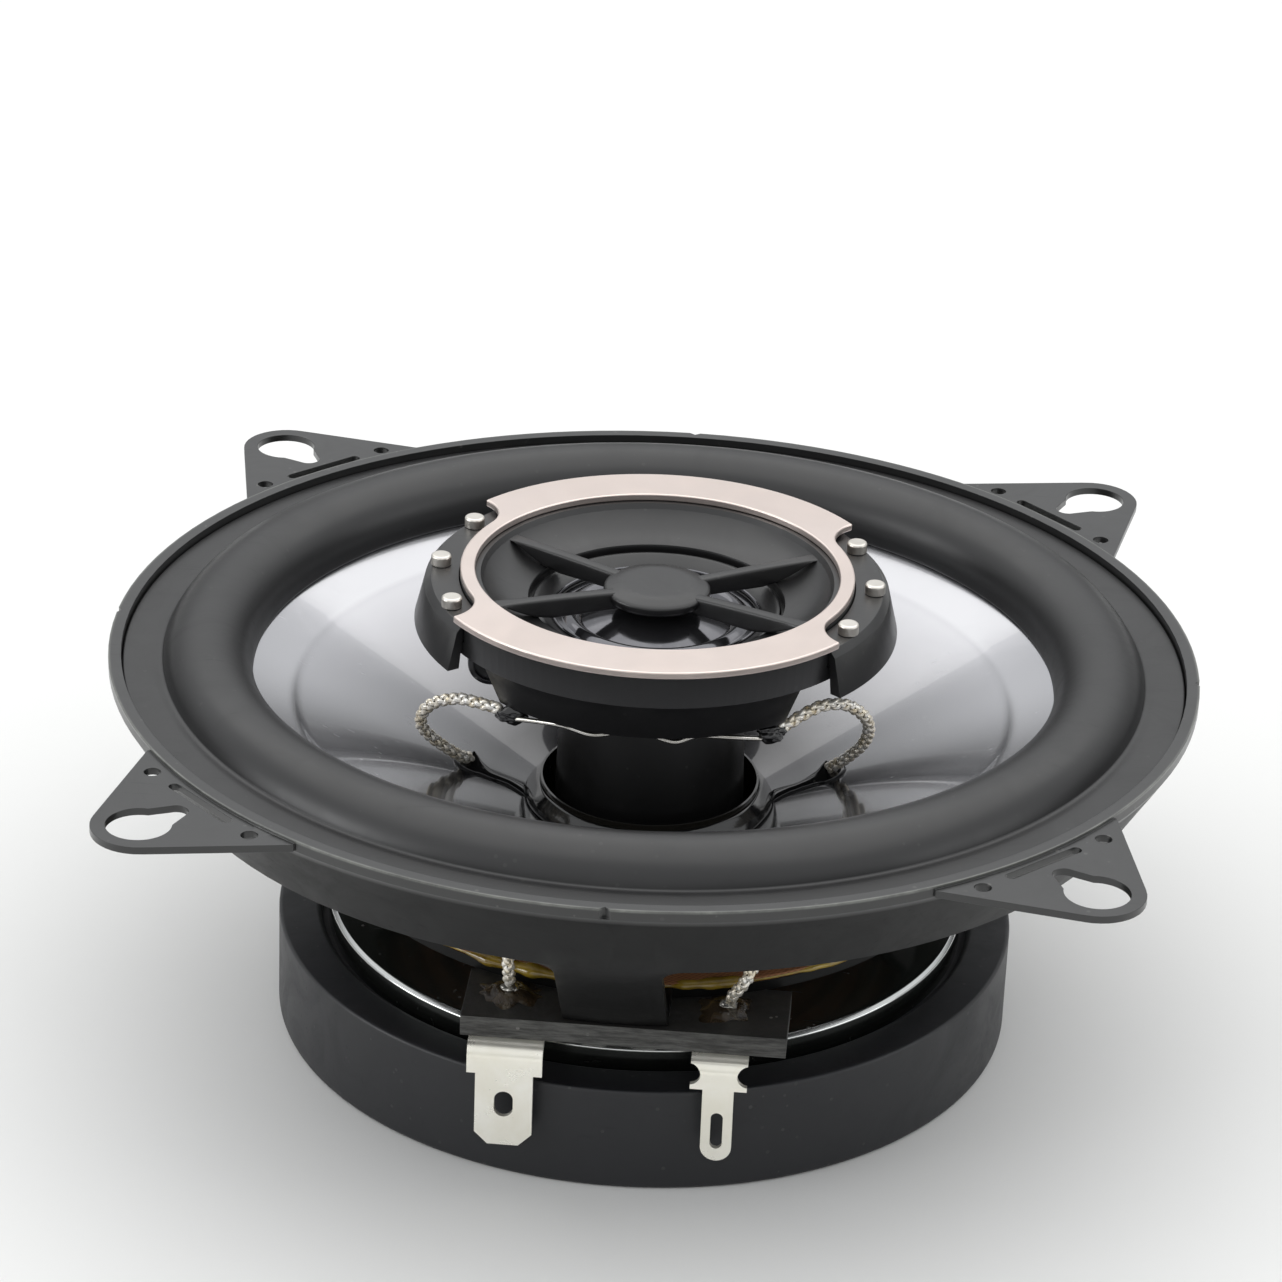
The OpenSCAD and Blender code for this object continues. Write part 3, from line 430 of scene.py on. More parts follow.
def paintCloth(m):
    # Plain weave from two crossed waves on the piece's own coordinates
    tree = m["tree"]
    uv = tree.nodes.new("ShaderNodeTexCoord").outputs["UV"]
    parts = addNode(tree, "ShaderNodeSeparateXYZ", [("Vector", uv)])
    warp = mathNode(tree, "SINE", mathNode(tree, "MULTIPLY", parts.outputs[0], 14000.0))
    weft = mathNode(tree, "SINE", mathNode(tree, "MULTIPLY", parts.outputs[1], 14000.0))
    weave = ramp(tree, mathNode(tree, "MULTIPLY", warp, weft), -1.0, 1.0)
    m["height"] = mathNode(tree, "ADD", mathNode(tree, "MULTIPLY", m["height"], 0.3), weave)
    m["colour"] = blendColours(tree, weave, m["colour"], (0.3, 0.13, 0.05))


def paintBoard(m):
    # Layered fibre: rough paler sawn edge, fine lay on the faces
    tree = m["tree"]
    stretch = addNode(tree, "ShaderNodeMapping", [("Vector", m["place"]), ("Scale", (400.0, 900.0, 3200.0))])
    layers = noiseNode(tree, stretch.outputs[0], 1.0, 4.0, 0.65)
    normal = addNode(tree, "ShaderNodeNewGeometry").outputs["Normal"]
    upward = mathNode(tree, "ABSOLUTE", addNode(tree, "ShaderNodeSeparateXYZ", [("Vector", normal)]).outputs[2])
    edge = mathNode(tree, "LESS_THAN", upward, 0.6)
    sawn = mathNode(tree, "MULTIPLY", edge, ramp(tree, layers, 0.38, 0.62))
    m["colour"] = blendColours(tree, sawn, m["colour"], (0.075, 0.075, 0.07))
    m["height"] = mathNode(tree, "ADD", m["height"], mathNode(tree, "MULTIPLY", layers,
        mathNode(tree, "MULTIPLY", edge, 5.0)))


def paintBraid(m):
    # The core under the strands has a negative tone and is painted dark, as the shade in the gaps between strands
    tree = m["tree"]
    tone = addNode(tree, "ShaderNodeAttribute", attribute_name="strandTone").outputs["Fac"]
    core = mathNode(tree, "LESS_THAN", tone, -0.5)
    m["colour"] = blendColours(tree, core, m["colour"], (0.03, 0.027, 0.022))


extras = {"basketSteel": paintBasket, "blackPlate": None, "coneFilm": paintCone, "spiderCloth": paintCloth,
    "fibreBoard": paintBoard, "braid": paintBraid}
looks = {}
for key, f in finishes.items():
    built = startMaterial(key, f)
    if extras.get(key):
        extras[key](built)
    looks[key] = finishMaterial(built, f["bump"], 0.0003 if key in ("fibreBoard", "solder", "blackGlue",
        "amberGlue") else 0.00006)
plateFinish = dict(finishes["blackPlate"])
built = startMaterial("plateRimHighlight", plateFinish)
paintPlate(built)
looks["plateRimHighlight"] = finishMaterial(built, plateFinish["bump"])
finishes["plateRimHighlight"] = plateFinish
floorFinish = dict(slot="", colour=room["floorColour"], drift=tuple(v * 0.985 for v in room["floorColour"]),
    rough=(0.6, 0.7), metallic=0.0,
    coat=0.0, coatRough=0.3, grain=900, bump=0.02, driftScale=6, dust=0.0)
looks["floor"] = finishMaterial(startMaterial("paleFloor", floorFinish), 0.02)
print("materials made:", len(looks))

# Mesh tools, all in millimetres


def arc(x, z, radius, start, end, count=24):
    # Points on a circle between two angles, in degrees
    a = np.radians(np.linspace(start, end, count))
    return np.stack([x + radius * np.cos(a), z + radius * np.sin(a)], 1)


def roundCorners(section, reach, steps=5, closed=True):
    # Each corner becomes a quadratic curve that leaves its edges at the given reach, or half an edge
    p = np.asarray(section, float)
    before, after = np.roll(p, 1, 0) - p, np.roll(p, -1, 0) - p
    lenA, lenB = np.linalg.norm(before, axis=1), np.linalg.norm(after, axis=1)
    r = np.broadcast_to(np.asarray(reach, float), (len(p),)).copy()
    if not closed:
        r[[0, -1]] = 0.0
    a = p + before / lenA[:, None] * np.minimum(r, 0.48 * lenA)[:, None]
    b = p + after / lenB[:, None] * np.minimum(r, 0.48 * lenB)[:, None]
    t = np.linspace(0, 1, steps + 1)[None, :, None]
    curve = ((1 - t) ** 2 * a[:, None] + 2 * t * (1 - t) * p[:, None] + t ** 2 * b[:, None]).reshape(-1,
        p.shape[1])
    keep = np.r_[True, np.linalg.norm(np.diff(curve, axis=0), axis=1) > 1e-5]
    return curve[keep]


def fillRuns(line, spacing, closed=True):
    # Adds points along long straight runs, keeping the ones that are there
    p = np.vstack([line, line[:1]]) if closed else np.asarray(line)
    s = np.r_[0, np.cumsum(np.linalg.norm(np.diff(p, axis=0), axis=1))]
    t = np.unique(np.r_[s, np.arange(0, s[-1], spacing)])
    t = t[np.r_[True, np.diff(t) > 0.004]]
    out = np.stack([np.interp(t, s, p[:, k]) for k in range(p.shape[1])], 1)
    return out[:-1] if closed else out


def smoothRoute(points, count):
    # Catmull-Rom curve through the points, then even spacing by length
    p = np.asarray(points, float)
    q = np.vstack([2 * p[0] - p[1], p, 2 * p[-1] - p[-2]])
    t = np.linspace(0, 1, 24, endpoint=False)[None, :, None]
    a, b, c, d = (q[i:len(q) - 3 + i, None, :] for i in range(4))
    curve = 0.5 * (2 * b + (c - a) * t + (2 * a - 5 * b + 4 * c - d) * t ** 2 + (3 * b - a - 3 * c + d) * t ** 3)
    curve = np.vstack([curve.reshape(-1, 3), p[-1:]])
    s = np.r_[0, np.cumsum(np.linalg.norm(np.diff(curve, axis=0), axis=1))]
    even = np.linspace(0, s[-1], count)
    return np.stack([np.interp(even, s, curve[:, k]) for k in range(3)], 1), s[-1]


def routeFrames(route):
    # Tangent by differences; the first side leans on the normal of the route's best plane
    tangent = np.gradient(route, axis=0)
    tangent /= np.linalg.norm(tangent, axis=1)[:, None]
    normal = np.linalg.svd(route - route.mean(0))[2][2]
    side = normal - (tangent @ normal)[:, None] * tangent
    side /= np.linalg.norm(side, axis=1)[:, None]
    return tangent, side, np.cross(tangent, side)


def noiseField(points, size, seed=0, octaves=3):
    # Smooth sum of sines in random directions, about -1 to 1
    spread = np.random.default_rng(seed)
    total = np.zeros(points.shape[:-1])
    for octave in range(octaves):
        ways = spread.normal(size=(7, 3))
        ways /= np.linalg.norm(ways, axis=1)[:, None]
        shift = spread.uniform(0, 6.28, 7)
        total += np.sin(points @ (ways.T * (6.28 / size * 2 ** octave)) + shift).sum(-1) / (4.0 * 1.7 ** octave)
    return total


def gridFaces(rows, columns, wrapRows, wrapColumns=True, offset=0):
    # Four-cornered faces of a grid, with the row and column of each corner
    r = np.arange(rows if wrapRows else rows - 1)
    c = np.arange(columns if wrapColumns else columns - 1)
    r, c = (a.ravel() for a in np.meshgrid(r, c, indexing="ij"))
    r2, c2 = (r + 1) % rows, (c + 1) % columns
    faces = np.stack([r * columns + c, r2 * columns + c, r2 * columns + c2, r * columns + c2], 1) + offset
    corners = np.stack([np.stack([r, c], 1), np.stack([r + 1, c], 1), np.stack([r + 1, c + 1], 1),
        np.stack([r, c + 1], 1)], 1)
    return faces, corners


def signedVolume(points, faces):
    a, b, c, d = (points[faces[:, k]] for k in range(4))
    return (a * np.cross(b, c)).sum() / 6 + (a * np.cross(c, d)).sum() / 6


def makePiece(name, points, quads, quadUv, fans, fanUv, finish, body, stands=(), sharp=38, attribute=None):
    # One mesh from arrays: points in millimetres, four-cornered faces, and the fans that close its poles
    points = np.asarray(points, float).reshape(-1, 3)
    mesh = bpy.data.meshes.new(name)
    faces = quads.tolist() + fans.tolist()
    mesh.from_pydata((points * mm).tolist(), [], faces)
    uv = mesh.uv_layers.new(name="surface")
    uv.data.foreach_set("uv", np.r_[quadUv.reshape(-1), fanUv.reshape(-1)].astype(np.float32))
    mesh.polygons.foreach_set("use_smooth", np.ones(len(faces), bool))
    mesh.set_sharp_from_angle(angle=math.radians(sharp))
    if attribute is not None:
        layer = mesh.attributes.new(attribute[0], "FLOAT", "POINT")
        layer.data.foreach_set("value", attribute[1].astype(np.float32).ravel())
    mesh.materials.append(looks[finish])
    piece = bpy.data.objects.new(name, mesh)
    bpy.context.scene.collection.objects.link(piece)
    if body:
        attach(piece, body)
    if stands:
        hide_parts(*stands)
    return piece


def loftArrays(grid, wrapRows, offset=0):
    # A grid of rings (rings, points, xyz): wrapped into a closed band, or closed by a fan at each end
    rows, columns = grid.shape[:2]
    quads, corners = gridFaces(rows, columns, wrapRows, True, offset)
    along = np.r_[0, np.cumsum(np.linalg.norm(np.diff(grid[:, 0], axis=0), axis=1)), 0]
    along[-1] = along[-2] + np.linalg.norm(grid[0, 0] - grid[-1, 0])
    round_ = np.linalg.norm(grid.mean(0) - grid.mean((0, 1)), axis=1).mean() * 2 * np.pi / columns
    uv = np.stack([along[corners[..., 0]], corners[..., 1] * round_], -1) * mm
    points = grid.reshape(-1, 3)
    fans, fanUv = np.zeros((0, 3), int), np.zeros((0, 3, 2))
    if not wrapRows:
        ends = np.stack([grid[0].mean(0), grid[-1].mean(0)])
        j = np.arange(columns)
        n = offset + rows * columns
        last = offset + (rows - 1) * columns
        first = np.stack([np.full(columns, n), offset + j, offset + (j + 1) % columns], 1)
        second = np.stack([np.full(columns, n + 1), last + (j + 1) % columns, last + j], 1)
        fans = np.vstack([first, second])
        near = np.stack([np.zeros(columns), j * round_], 1) * mm
        fanUv = np.tile(np.stack([near, near, near + [0, round_ * mm]], 1), (2, 1, 1))
        fanUv[columns:, :, 0] = along[rows - 1] * mm
        points = np.vstack([points, ends])
    whole = np.vstack([quads, np.c_[fans, fans[:, 2:]]])
    if signedVolume(points - points.mean(0), whole - offset) < 0:
        quads, uv, fans, fanUv = quads[:, ::-1], uv[:, ::-1], fans[:, ::-1], fanUv[:, ::-1]
    return points, quads, uv, fans, fanUv


def loft(name, grids, wrapRows, finish, body, stands=(), sharp=38, tones=None):
    # Joins one or more grids of rings into a single piece
    parts, offset = [], 0
    for grid in grids:
        part = loftArrays(grid, wrapRows, offset)
        parts.append(part)
        offset += len(part[0])
    points, quads, uv, fans, fanUv = (np.concatenate([p[k] for p in parts]) for k in range(5))
    attribute = None
    if tones is not None:
        attribute = ("strandTone", np.concatenate([np.full(len(p[0]), t) for p, t in zip(parts, tones)]))
    return makePiece(name, points, quads, uv, fans, fanUv, finish, body, stands, sharp, attribute)


def spin(section, columns=240, shape=None):
    # Turns a section of radius and height round the axis; shape may then push the points about
    a = np.linspace(0, 2 * np.pi, columns, endpoint=False)
    r, z = section[:, 0][:, None], section[:, 1][:, None]
    grid = np.stack([r * np.cos(a), r * np.sin(a), z + 0 * a], -1)
    return shape(grid) if shape else grid


def turned(name, section, finish, body, stands=(), reach=0.2, spacing=0.8, columns=240, closed=True, shape=None,
    sharp=38):
    # A surface of revolution with rounded corners and filled runs
    line = fillRuns(roundCorners(section, reach, 5, closed), spacing, closed)
    return loft(name, [spin(line, columns, shape)], closed, finish, body, stands, sharp)


def tubeGrid(route, radius, sides=12, flat=1.0):
    # A tube carried along a route, its ends drawn in to close; flat squeezes it across its side
    _, side, up = routeFrames(route)
    a = np.linspace(0, 2 * np.pi, sides, endpoint=False)
    r = np.broadcast_to(np.asarray(radius, float), (len(route),))[:, None, None]
    out = np.cos(a)[None, :, None] * side[:, None]
    return route[:, None] + r * (out + flat * np.sin(a)[None, :, None] * up[:, None])


def roundedEnds(count, radius, share=0.06):
    # Radius along a tube that grows from a point at both ends like a ball
    t = np.linspace(0, 1, count)
    near = np.clip(np.minimum(t, 1 - t) / share, 0, 1)
    return radius * np.sqrt(np.clip(1 - (1 - near) ** 2, 0.002, 1))


def softened(name, node, width, finish, body, segments=3, angle=28, flatten=0.4):
    # The node's own solid with every hard edge rounded over
    mesh = cad[node].data.copy()
    mesh.name = name
    work = bmesh.new()
    work.from_mesh(mesh)
    bmesh.ops.remove_doubles(work, verts=work.verts, dist=1e-5)
    if flatten:
        bmesh.ops.dissolve_limit(work, angle_limit=math.radians(flatten), verts=work.verts, edges=work.edges)
    work.to_mesh(mesh)
    work.free()
    mesh.materials.clear()
    mesh.materials.append(looks[finish])
    mesh.polygons.foreach_set("use_smooth", np.ones(len(mesh.polygons), bool))
    mesh.set_sharp_from_angle(angle=math.radians(angle))
    piece = bpy.data.objects.new(name, mesh)
    bpy.context.scene.collection.objects.link(piece)
    bevel = piece.modifiers.new("edgeRound", "BEVEL")
    bevel.width, bevel.segments, bevel.limit_method = width * mm, segments, "ANGLE"
    bevel.angle_limit, bevel.harden_normals, bevel.use_clamp_overlap = math.radians(angle), True, True
    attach(piece, body)
    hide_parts(node)
    return piece


def dress(node, finish):
    cad[node].data.materials.clear()
    cad[node].data.materials.append(looks[finish])


def bendOver(piece):
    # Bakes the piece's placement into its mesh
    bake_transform(piece)


def pieceRadius(piece):
    co = np.empty(len(piece.data.vertices) * 3, np.float32)
    piece.data.vertices.foreach_get("co", co)
    co = co.reshape(-1, 3) / mm
    return np.hypot(co[:, 0], co[:, 1]), co


# Basket and terminals

basketLook = {"edge": 0.22, "segments": 3}
softened("basketShell", "basket", basketLook["edge"], "basketSteel", frameBody, basketLook["segments"])
softened("boardFibre", "terminal_board", 0.12, "fibreBoard", frameBody, 2)
softened("wideTab", "wide_terminal", 0.1, "tinnedBrass", frameBody, 2)
softened("narrowTab", "narrow_terminal", 0.1, "tinnedBrass", frameBody, 2)
dress("board_rivets", "zincSteel")
softened("eyeletRings", "terminal_eyelets", 0.12, "solder", frameBody, 2)
print("basket and terminals done")

# Cone, surround and spider

surroundLook = {"outer": 49.7, "flange": -0.72, "base": -1.5, "rollAt": 41.9, "rollR": 4.3, "rollZ": -2.1,
    "thick": 0.7, "inner": 37.6}


def makeSurround(s):
    # Flat flange, half roll, and a foot that turns in onto the cone
    top = arc(s["rollAt"], s["rollZ"], s["rollR"], 19, 180, 60)
    under = arc(s["rollAt"], s["rollZ"], s["rollR"] - s["thick"], 180, 12, 50)
    foot = s["inner"]
    section = np.vstack([
        [[s["outer"], s["base"] + 0.01], [s["outer"], s["flange"]], [46.9, s["flange"]], [46.25, -0.78]],
        top, [[foot, -2.9], [foot + 0.25, -3.08], [39.1, -2.5], [39.1, -2.4], [foot + s["thick"] + 0.1, -2.62]],
        under, [[45.5, s["base"] + 0.01]]])
    line = fillRuns(roundCorners(section, 0.18, 4), 0.5)
    piece = loft("surroundRoll", [spin(line, 320)], True, "surroundRubber", None, ("surround",), 60)
    radius, _ = pieceRadius(piece)
    bendOver(piece)


makeSurround(surroundLook)

coneLook = {"neck": 10.4, "neckZ": -16.4, "step": 34.0, "stepZ": -4.9, "edge": 39.0, "edgeZ": -2.6,
    "thick": 0.42, "stepHeight": 0.12}


def makeCone(c):
    # Straight flare with one low step near its edge
    slope = (c["stepZ"] - c["neckZ"]) / (c["step"] - c["neck"])
    s = c["step"]
    front = np.array([[c["neck"], c["neckZ"]], [s - 0.7, c["stepZ"] - 0.7 * slope],
        [s, c["stepZ"] + c["stepHeight"]], [c["edge"], c["edgeZ"] - 0.04]])
    back = front[::-1] - [0, c["thick"]]
    turned("coneFlare", np.vstack([front, back]), "coneFilm", coneBody, ("cone",), reach=0.5, spacing=0.7,
        columns=360, sharp=60)


makeCone(coneLook)

spiderLook = {"inner": 10.42, "outer": 29.4, "flat": 26.3, "base": -19.9, "rolls": 5, "wave": 0.8,
    "thick": 0.45}


def makeSpider(s):
    # Corrugated disc: a raised cosine between the collar and the flat glued rim
    r = np.linspace(s["inner"], s["outer"], 150)
    t = np.clip((r - s["inner"] - 1) / (s["flat"] - s["inner"] - 1), 0, 1)
    z = s["base"] + s["wave"] / 2 * (1 - np.cos(2 * np.pi * s["rolls"] * t)) + 0.01
    line = np.vstack([np.stack([r, z], 1), np.stack([r, z + s["thick"]], 1)[::-1]])
    piece = loft("spiderCloth", [spin(line, 240)], True, "spiderCloth", None, ("spider",), 60)
    radius, _ = pieceRadius(piece)
    t = np.clip((s["flat"] - radius) / (s["flat"] - s["inner"] - 1), 0, 1)
    bendOver(piece)


makeSpider(spiderLook)
dress("coil_former", "formerFilm")
dress("voice_coil", "enamelWire")

neckLook = {"radius": 10.42, "top": -13.95, "low": -16.5, "reach": 1.5, "lumps": 0.12}


def makeNeckGlue(n):
    # Bead of glue in the corner of cone and coil, its edge wandering a little
    section = np.array([[n["radius"], n["low"] + 0.1], [n["radius"] + n["reach"], n["low"] + 0.8],
        [n["radius"] + 1.1, n["low"] + 1.3],
        [n["radius"] + 0.5, n["top"] - 0.6], [n["radius"] + 0.02, n["top"]]])

    def lumps(grid):
        bump = noiseField(grid, 9.0, 3, 2)[..., None] * n["lumps"]
        out = grid.copy()
        out[..., :2] *= 1 + bump / 14 * (grid[..., 2:] > n["low"] + 0.2)
        return out
    turned("neckBead", section, "blackGlue", coneBody, ("neck_glue",), reach=0.4, spacing=0.25, columns=300,
        shape=lumps, sharp=60)


makeNeckGlue(neckLook)
print("cone, surround and spider done")

# Motor

plateLook = {"bore": 11.2, "outer": 30.4, "top": -25.6, "low": -28.4, "chamfer": 0.38}


def makePlate(p):
    section = np.array([[p["bore"], p["low"]], [p["outer"], p["low"]], [p["outer"], p["top"] - p["chamfer"]],
        [p["outer"] - p["chamfer"], p["top"]], [p["bore"], p["top"]]])
    turned("frontPlate", section, "plateRimHighlight", frameBody, ("front_plate",),
        reach=[0.05, 0.05, 0.12, 0.12, 0.05], spacing=1.2, columns=300)


makePlate(plateLook)

bootLook = {"outer": 35.2, "inner": 33.2, "top": -27.4, "lip": -28.4, "low": -37.7, "lipLow": -36.9,
    "throat": 31.0, "rear": 29.0}


def makeBoot(b):
    # Rubber cup with a turned-in lip at each end, a little uneven like soft moulding
    section = np.array([[b["rear"], b["low"]], [b["outer"], b["low"]], [b["outer"], b["top"]],
        [b["throat"] + 0.5, b["top"]],
        [b["throat"], b["top"] - 0.35], [b["throat"], b["lip"]], [b["inner"], b["lip"]],
        [b["inner"], b["lipLow"]], [b["rear"], b["lipLow"]]])

    def soft(grid):
        out = grid.copy()
        out[..., :2] *= 1 - 0.0009 * (1 + noiseField(grid, 30.0, 5, 2))[...,
            None] * (np.hypot(grid[..., 0], grid[..., 1]) > 34)[..., None]
        return out
    turned("magnetBoot", section, "bootRubber", frameBody, ("magnet_boot",),
        reach=[0.3, 0.7, 0.35, 0.15, 0.2, 0.1, 0.1, 0.1, 0.1],
        spacing=0.6, columns=320, shape=soft, sharp=50)


makeBoot(bootLook)
dress("ferrite_magnet", "ferrite")
softened("yokePlate", "yoke", 0.3, "zincSteel", frameBody, 2)

screwLook = {"radius": 3.55, "seat": -34.9, "height": 1.75, "slot": 0.48, "slotReach": 2.0, "slotDepth": 1.1}


def makeScrewHead(s):
    # Pan head seen from behind: a rounded disc with a cross pressed into it
    r = np.r_[np.linspace(0.05, s["radius"] - 0.5, 34), s["radius"] - 0.5 + 0.5 * np.sin(np.linspace(0.1,
        np.pi / 2, 8)), s["radius"]]
    a = np.linspace(0, 2 * np.pi, 144, endpoint=False)
    x, y = r[:, None] * np.cos(a), r[:, None] * np.sin(a)
    drop = s["height"] * np.sqrt(np.clip(1 - (r / (s["radius"] + 0.12)) ** 4, 0, 1))[:, None] + 0 * a
    arm = np.minimum(np.abs(x), np.abs(y))
    inside = np.clip((s["slot"] - arm) / 0.14, 0, 1) * np.clip((s["slotReach"] - np.hypot(x, y)) / 0.5, 0, 1)
    z = s["seat"] - drop + inside * s["slotDepth"]
    z[-1] = s["seat"]
    loft("screwHead", [np.stack([x, y, z], -1)], False, "zincSteel", frameBody, ("post_screw",), 50)


makeScrewHead(screwLook)

postLook = {"foot": 9.3, "head": 8.6, "low": -25.6, "top": -2.0}


def makePost(p):
    section = np.array([[0.05, p["low"]], [p["foot"], p["low"]], [p["head"], p["top"]], [0.05, p["top"]]])
    turned("tweeterPost", section, "postPaint", frameBody, ("tweeter_post",), reach=0.3, spacing=1.5,
        columns=200, closed=False)


makePost(postLook)
print("motor done")

# Tweeter

for node, name, width, finish in (
        ("trim_ring", "trimBand", 0.16, "champagne"), ("wing_left", "wingLeft", 0.3, "greyPlastic"),
        ("wing_right", "wingRight", 0.3, "greyPlastic"), ("tweeter_bezel", "bezelBody", 0.22, "greyPlastic"),
        ("wing_studs", "wingStuds", 0.1, "studSteel"), ("tweeter_cup", "tweeterCup", 0.2, "greyPlastic"),
        ("bezel_screws", "bezelScrews", 0.2, "zincSteel"),
        ("diaphragm_ring", "diaphragmRing", 0.15, "greyPlastic")):
    softened(name, node, width, finish, frameBody, flatten=0 if node == "tweeter_bezel" else 0.4)
for node, finish in (("tweeter_pot", "zincSteel"), ("tweeter_magnet", "magnetChrome"),
    ("tweeter_pole", "zincSteel"),
        ("tweeter_coil", "enamelWire")):
    dress(node, finish)

ringLook = {"radius": 9.75, "height": 3.62, "bead": 0.16}
k = np.linspace(0, 2 * np.pi, 16, endpoint=False)
ringSection = np.stack([ringLook["radius"] + ringLook["bead"] * np.cos(k),
    ringLook["height"] + ringLook["bead"] * np.sin(k)], 1)
loft("ringBead", [spin(ringSection, 240)], True, "domeFilm", frameBody, (), 60)

bowlLook = {"mouth": 16.56, "mouthZ": 7.22, "throat": 12.02, "throatZ": 4.93}


def makeBowl(b):
    # Thin lining of the horn: a concave quarter-like curve from throat to mouth
    t = np.linspace(0, 1, 40)
    r = b["throat"] + (b["mouth"] - b["throat"]) * t
    z = b["throatZ"] + (b["mouthZ"] - b["throatZ"]) * (0.25 * t + 0.75 * t ** 2.6) + 0.03
    front = np.stack([r, z], 1)
    lip = np.array([[b["throat"] - 0.05, b["throatZ"] - 0.15], [b["throat"] - 0.02, b["throatZ"] - 0.7]])
    back = np.stack([r, z - 0.12], 1)
    back[0] = [b["throat"] + 0.06, b["throatZ"] - 0.7]
    turned("hornBowl", np.vstack([lip[::-1], front, back[::-1]]), "greyPlastic", frameBody, (), reach=0.03,
        spacing=0.3, columns=300, sharp=50)


makeBowl(bowlLook)

hubLook = {"radius": 5.0, "low": 5.1, "edge": 6.25, "top": 6.72, "flat": 3.5}
vaneLook = {"angle": 27.5, "thick": 1.2, "reach": 16.25, "start": 4.2, "low": 4.76, "hubTop": 6.45,
    "crest": 6.95, "endTop": 6.86}


def makeHub(h):
    # Low button: flat top, sloping shoulder, upright side
    section = np.array([[0.03, h["low"]], [h["radius"] - 0.5, h["low"]], [h["radius"], h["low"] + 0.5],
        [h["radius"], h["edge"]],
        [h["flat"], h["top"] - 0.02], [0.03, h["top"]]])
    return fillRuns(roundCorners(section, [0, 0.3, 0.3, 0.5, 0.5, 0], 5, False), 0.3, False)


def makeVanes(v):
    # Each vane is a row of rounded sections whose top follows a low arch out to the bowl
    r = np.linspace(v["start"], v["reach"], 60)
    t = (r - v["start"]) / (v["reach"] - v["start"])
    top = v["hubTop"] + (v["endTop"] - v["hubTop"]) * t + (v["crest"] - v["endTop"]) * 4 * t * (1 - t) * 0.9
    low = v["low"] + 0.2 * np.clip(r - 10.6, 0, None) + np.clip(r - 12.0, 0, None) ** 1.6 * 0.12
    low = np.minimum(low, top - 0.12)
    across = np.radians(np.linspace(0, 360, 28, endpoint=False))
    # rounded box section: a squared ellipse
    c, s = np.cos(across), np.sin(across)
    u = np.sign(c) * np.abs(c) ** 0.35 * v["thick"] / 2
    w = np.sign(s) * np.abs(s) ** 0.35
    mid, half = (top + low) / 2, (top - low) / 2
    lean = 1 + 0.12 * (1 - w)
    y = u[None] * lean[None] * np.ones(len(r))[:, None]
    z = mid[:, None] + half[:, None] * w[None]
    x = r[:, None] + 0 * y
    grids = []
    for angle in (v["angle"], -v["angle"], 180 - v["angle"], 180 + v["angle"]):
        a = math.radians(angle)
        grids.append(np.stack([x * math.cos(a) - y * math.sin(a), x * math.sin(a) + y * math.cos(a), z], -1))
    return grids


loft("vaneGrille", [spin(makeHub(hubLook), 160)] + makeVanes(vaneLook), False, "greyPlastic", frameBody,
    ("vane_grille",), 40)

domeLook = {"radius": 7.0, "base": 2.9, "rise": 1.45, "thick": 0.12, "skirt": 0.82, "edgeOut": 9.6,
    "edgeZ": 3.13, "edgeRoll": 0.5}


def makeDome(d):
    # Cap of a sphere with its former, and the rolled edge outside it
    ball = (d["radius"] ** 2 + d["rise"] ** 2) / (2 * d["rise"])
    top = np.degrees(math.asin(d["radius"] / ball))
    cap = arc(0, d["base"] + d["rise"] - ball, ball, 90 - 0.15, 90 - top, 40)
    under = arc(0, d["base"] + d["rise"] - ball, ball - d["thick"], 90 - top + 1.0, 90 - 0.15, 30)
    wall = np.array([[6.9, d["skirt"]], [6.8, d["skirt"]]])
    line = fillRuns(np.vstack([cap, wall, under]), 0.4, False)
    loft("domeCap", [spin(line, 200)], False, "domeFilm", domeBody, ("tweeter_dome",), 50)
    t = np.linspace(0, 1, 30)
    r = d["radius"] + 0.06 + (d["edgeOut"] - 0.8 - d["radius"]) * t
    z = d["base"] + 0.04 + (d["edgeZ"] - d["base"] - 0.04) * t + d["edgeRoll"] * np.sin(np.pi * t)
    up = np.vstack([np.stack([r, z], 1), [[d["edgeOut"] - 0.02, d["edgeZ"]]]])
    line = np.vstack([up, (up + [0, 0.1])[::-1]])
    piece = loft("domeRoll", [spin(fillRuns(line, 0.3), 200)], True, "domeFilm", None, ("dome_edge",), 60)
    radius, _ = pieceRadius(piece)
    bendOver(piece)


makeDome(domeLook)

capLook = {"radius": 2.2, "length": 9.0, "place": (-15.7, -1.0, 1.78), "turn": 9.0}


def makeCapacitor(c):
    # Sleeved can lying level: crimp groove near its open end and the sleeve turned over the rim
    length, radius = c["length"], c["radius"]
    section = np.array([[0.03, 0.02], [radius - 0.25, 0.02], [radius, 0.3], [radius, length - 1.7],
        [radius - 0.22, length - 1.4],
        [radius, length - 1.1], [radius, length - 0.2], [radius - 0.55, length - 0.02],
        [radius - 0.6, length - 0.25], [0.03, length - 0.3]])
    line = fillRuns(roundCorners(section, 0.15, 4, False), 0.3, False)
    grid = spin(line, 96)
    a = math.radians(c["turn"])
    x, y, z = grid[..., 0], grid[..., 1], grid[..., 2]
    # its own axis runs along -Y, turned a little outwards
    return np.stack([x * math.cos(a) + z * math.sin(a), x * math.sin(a) - z * math.cos(a), y],
        -1) + np.array(c["place"])


loft("capacitorCan", [makeCapacitor(capLook)], False, "sleeve", frameBody, ("capacitor",), 45)
print("tweeter done")

# Leads, wires, solder and glue

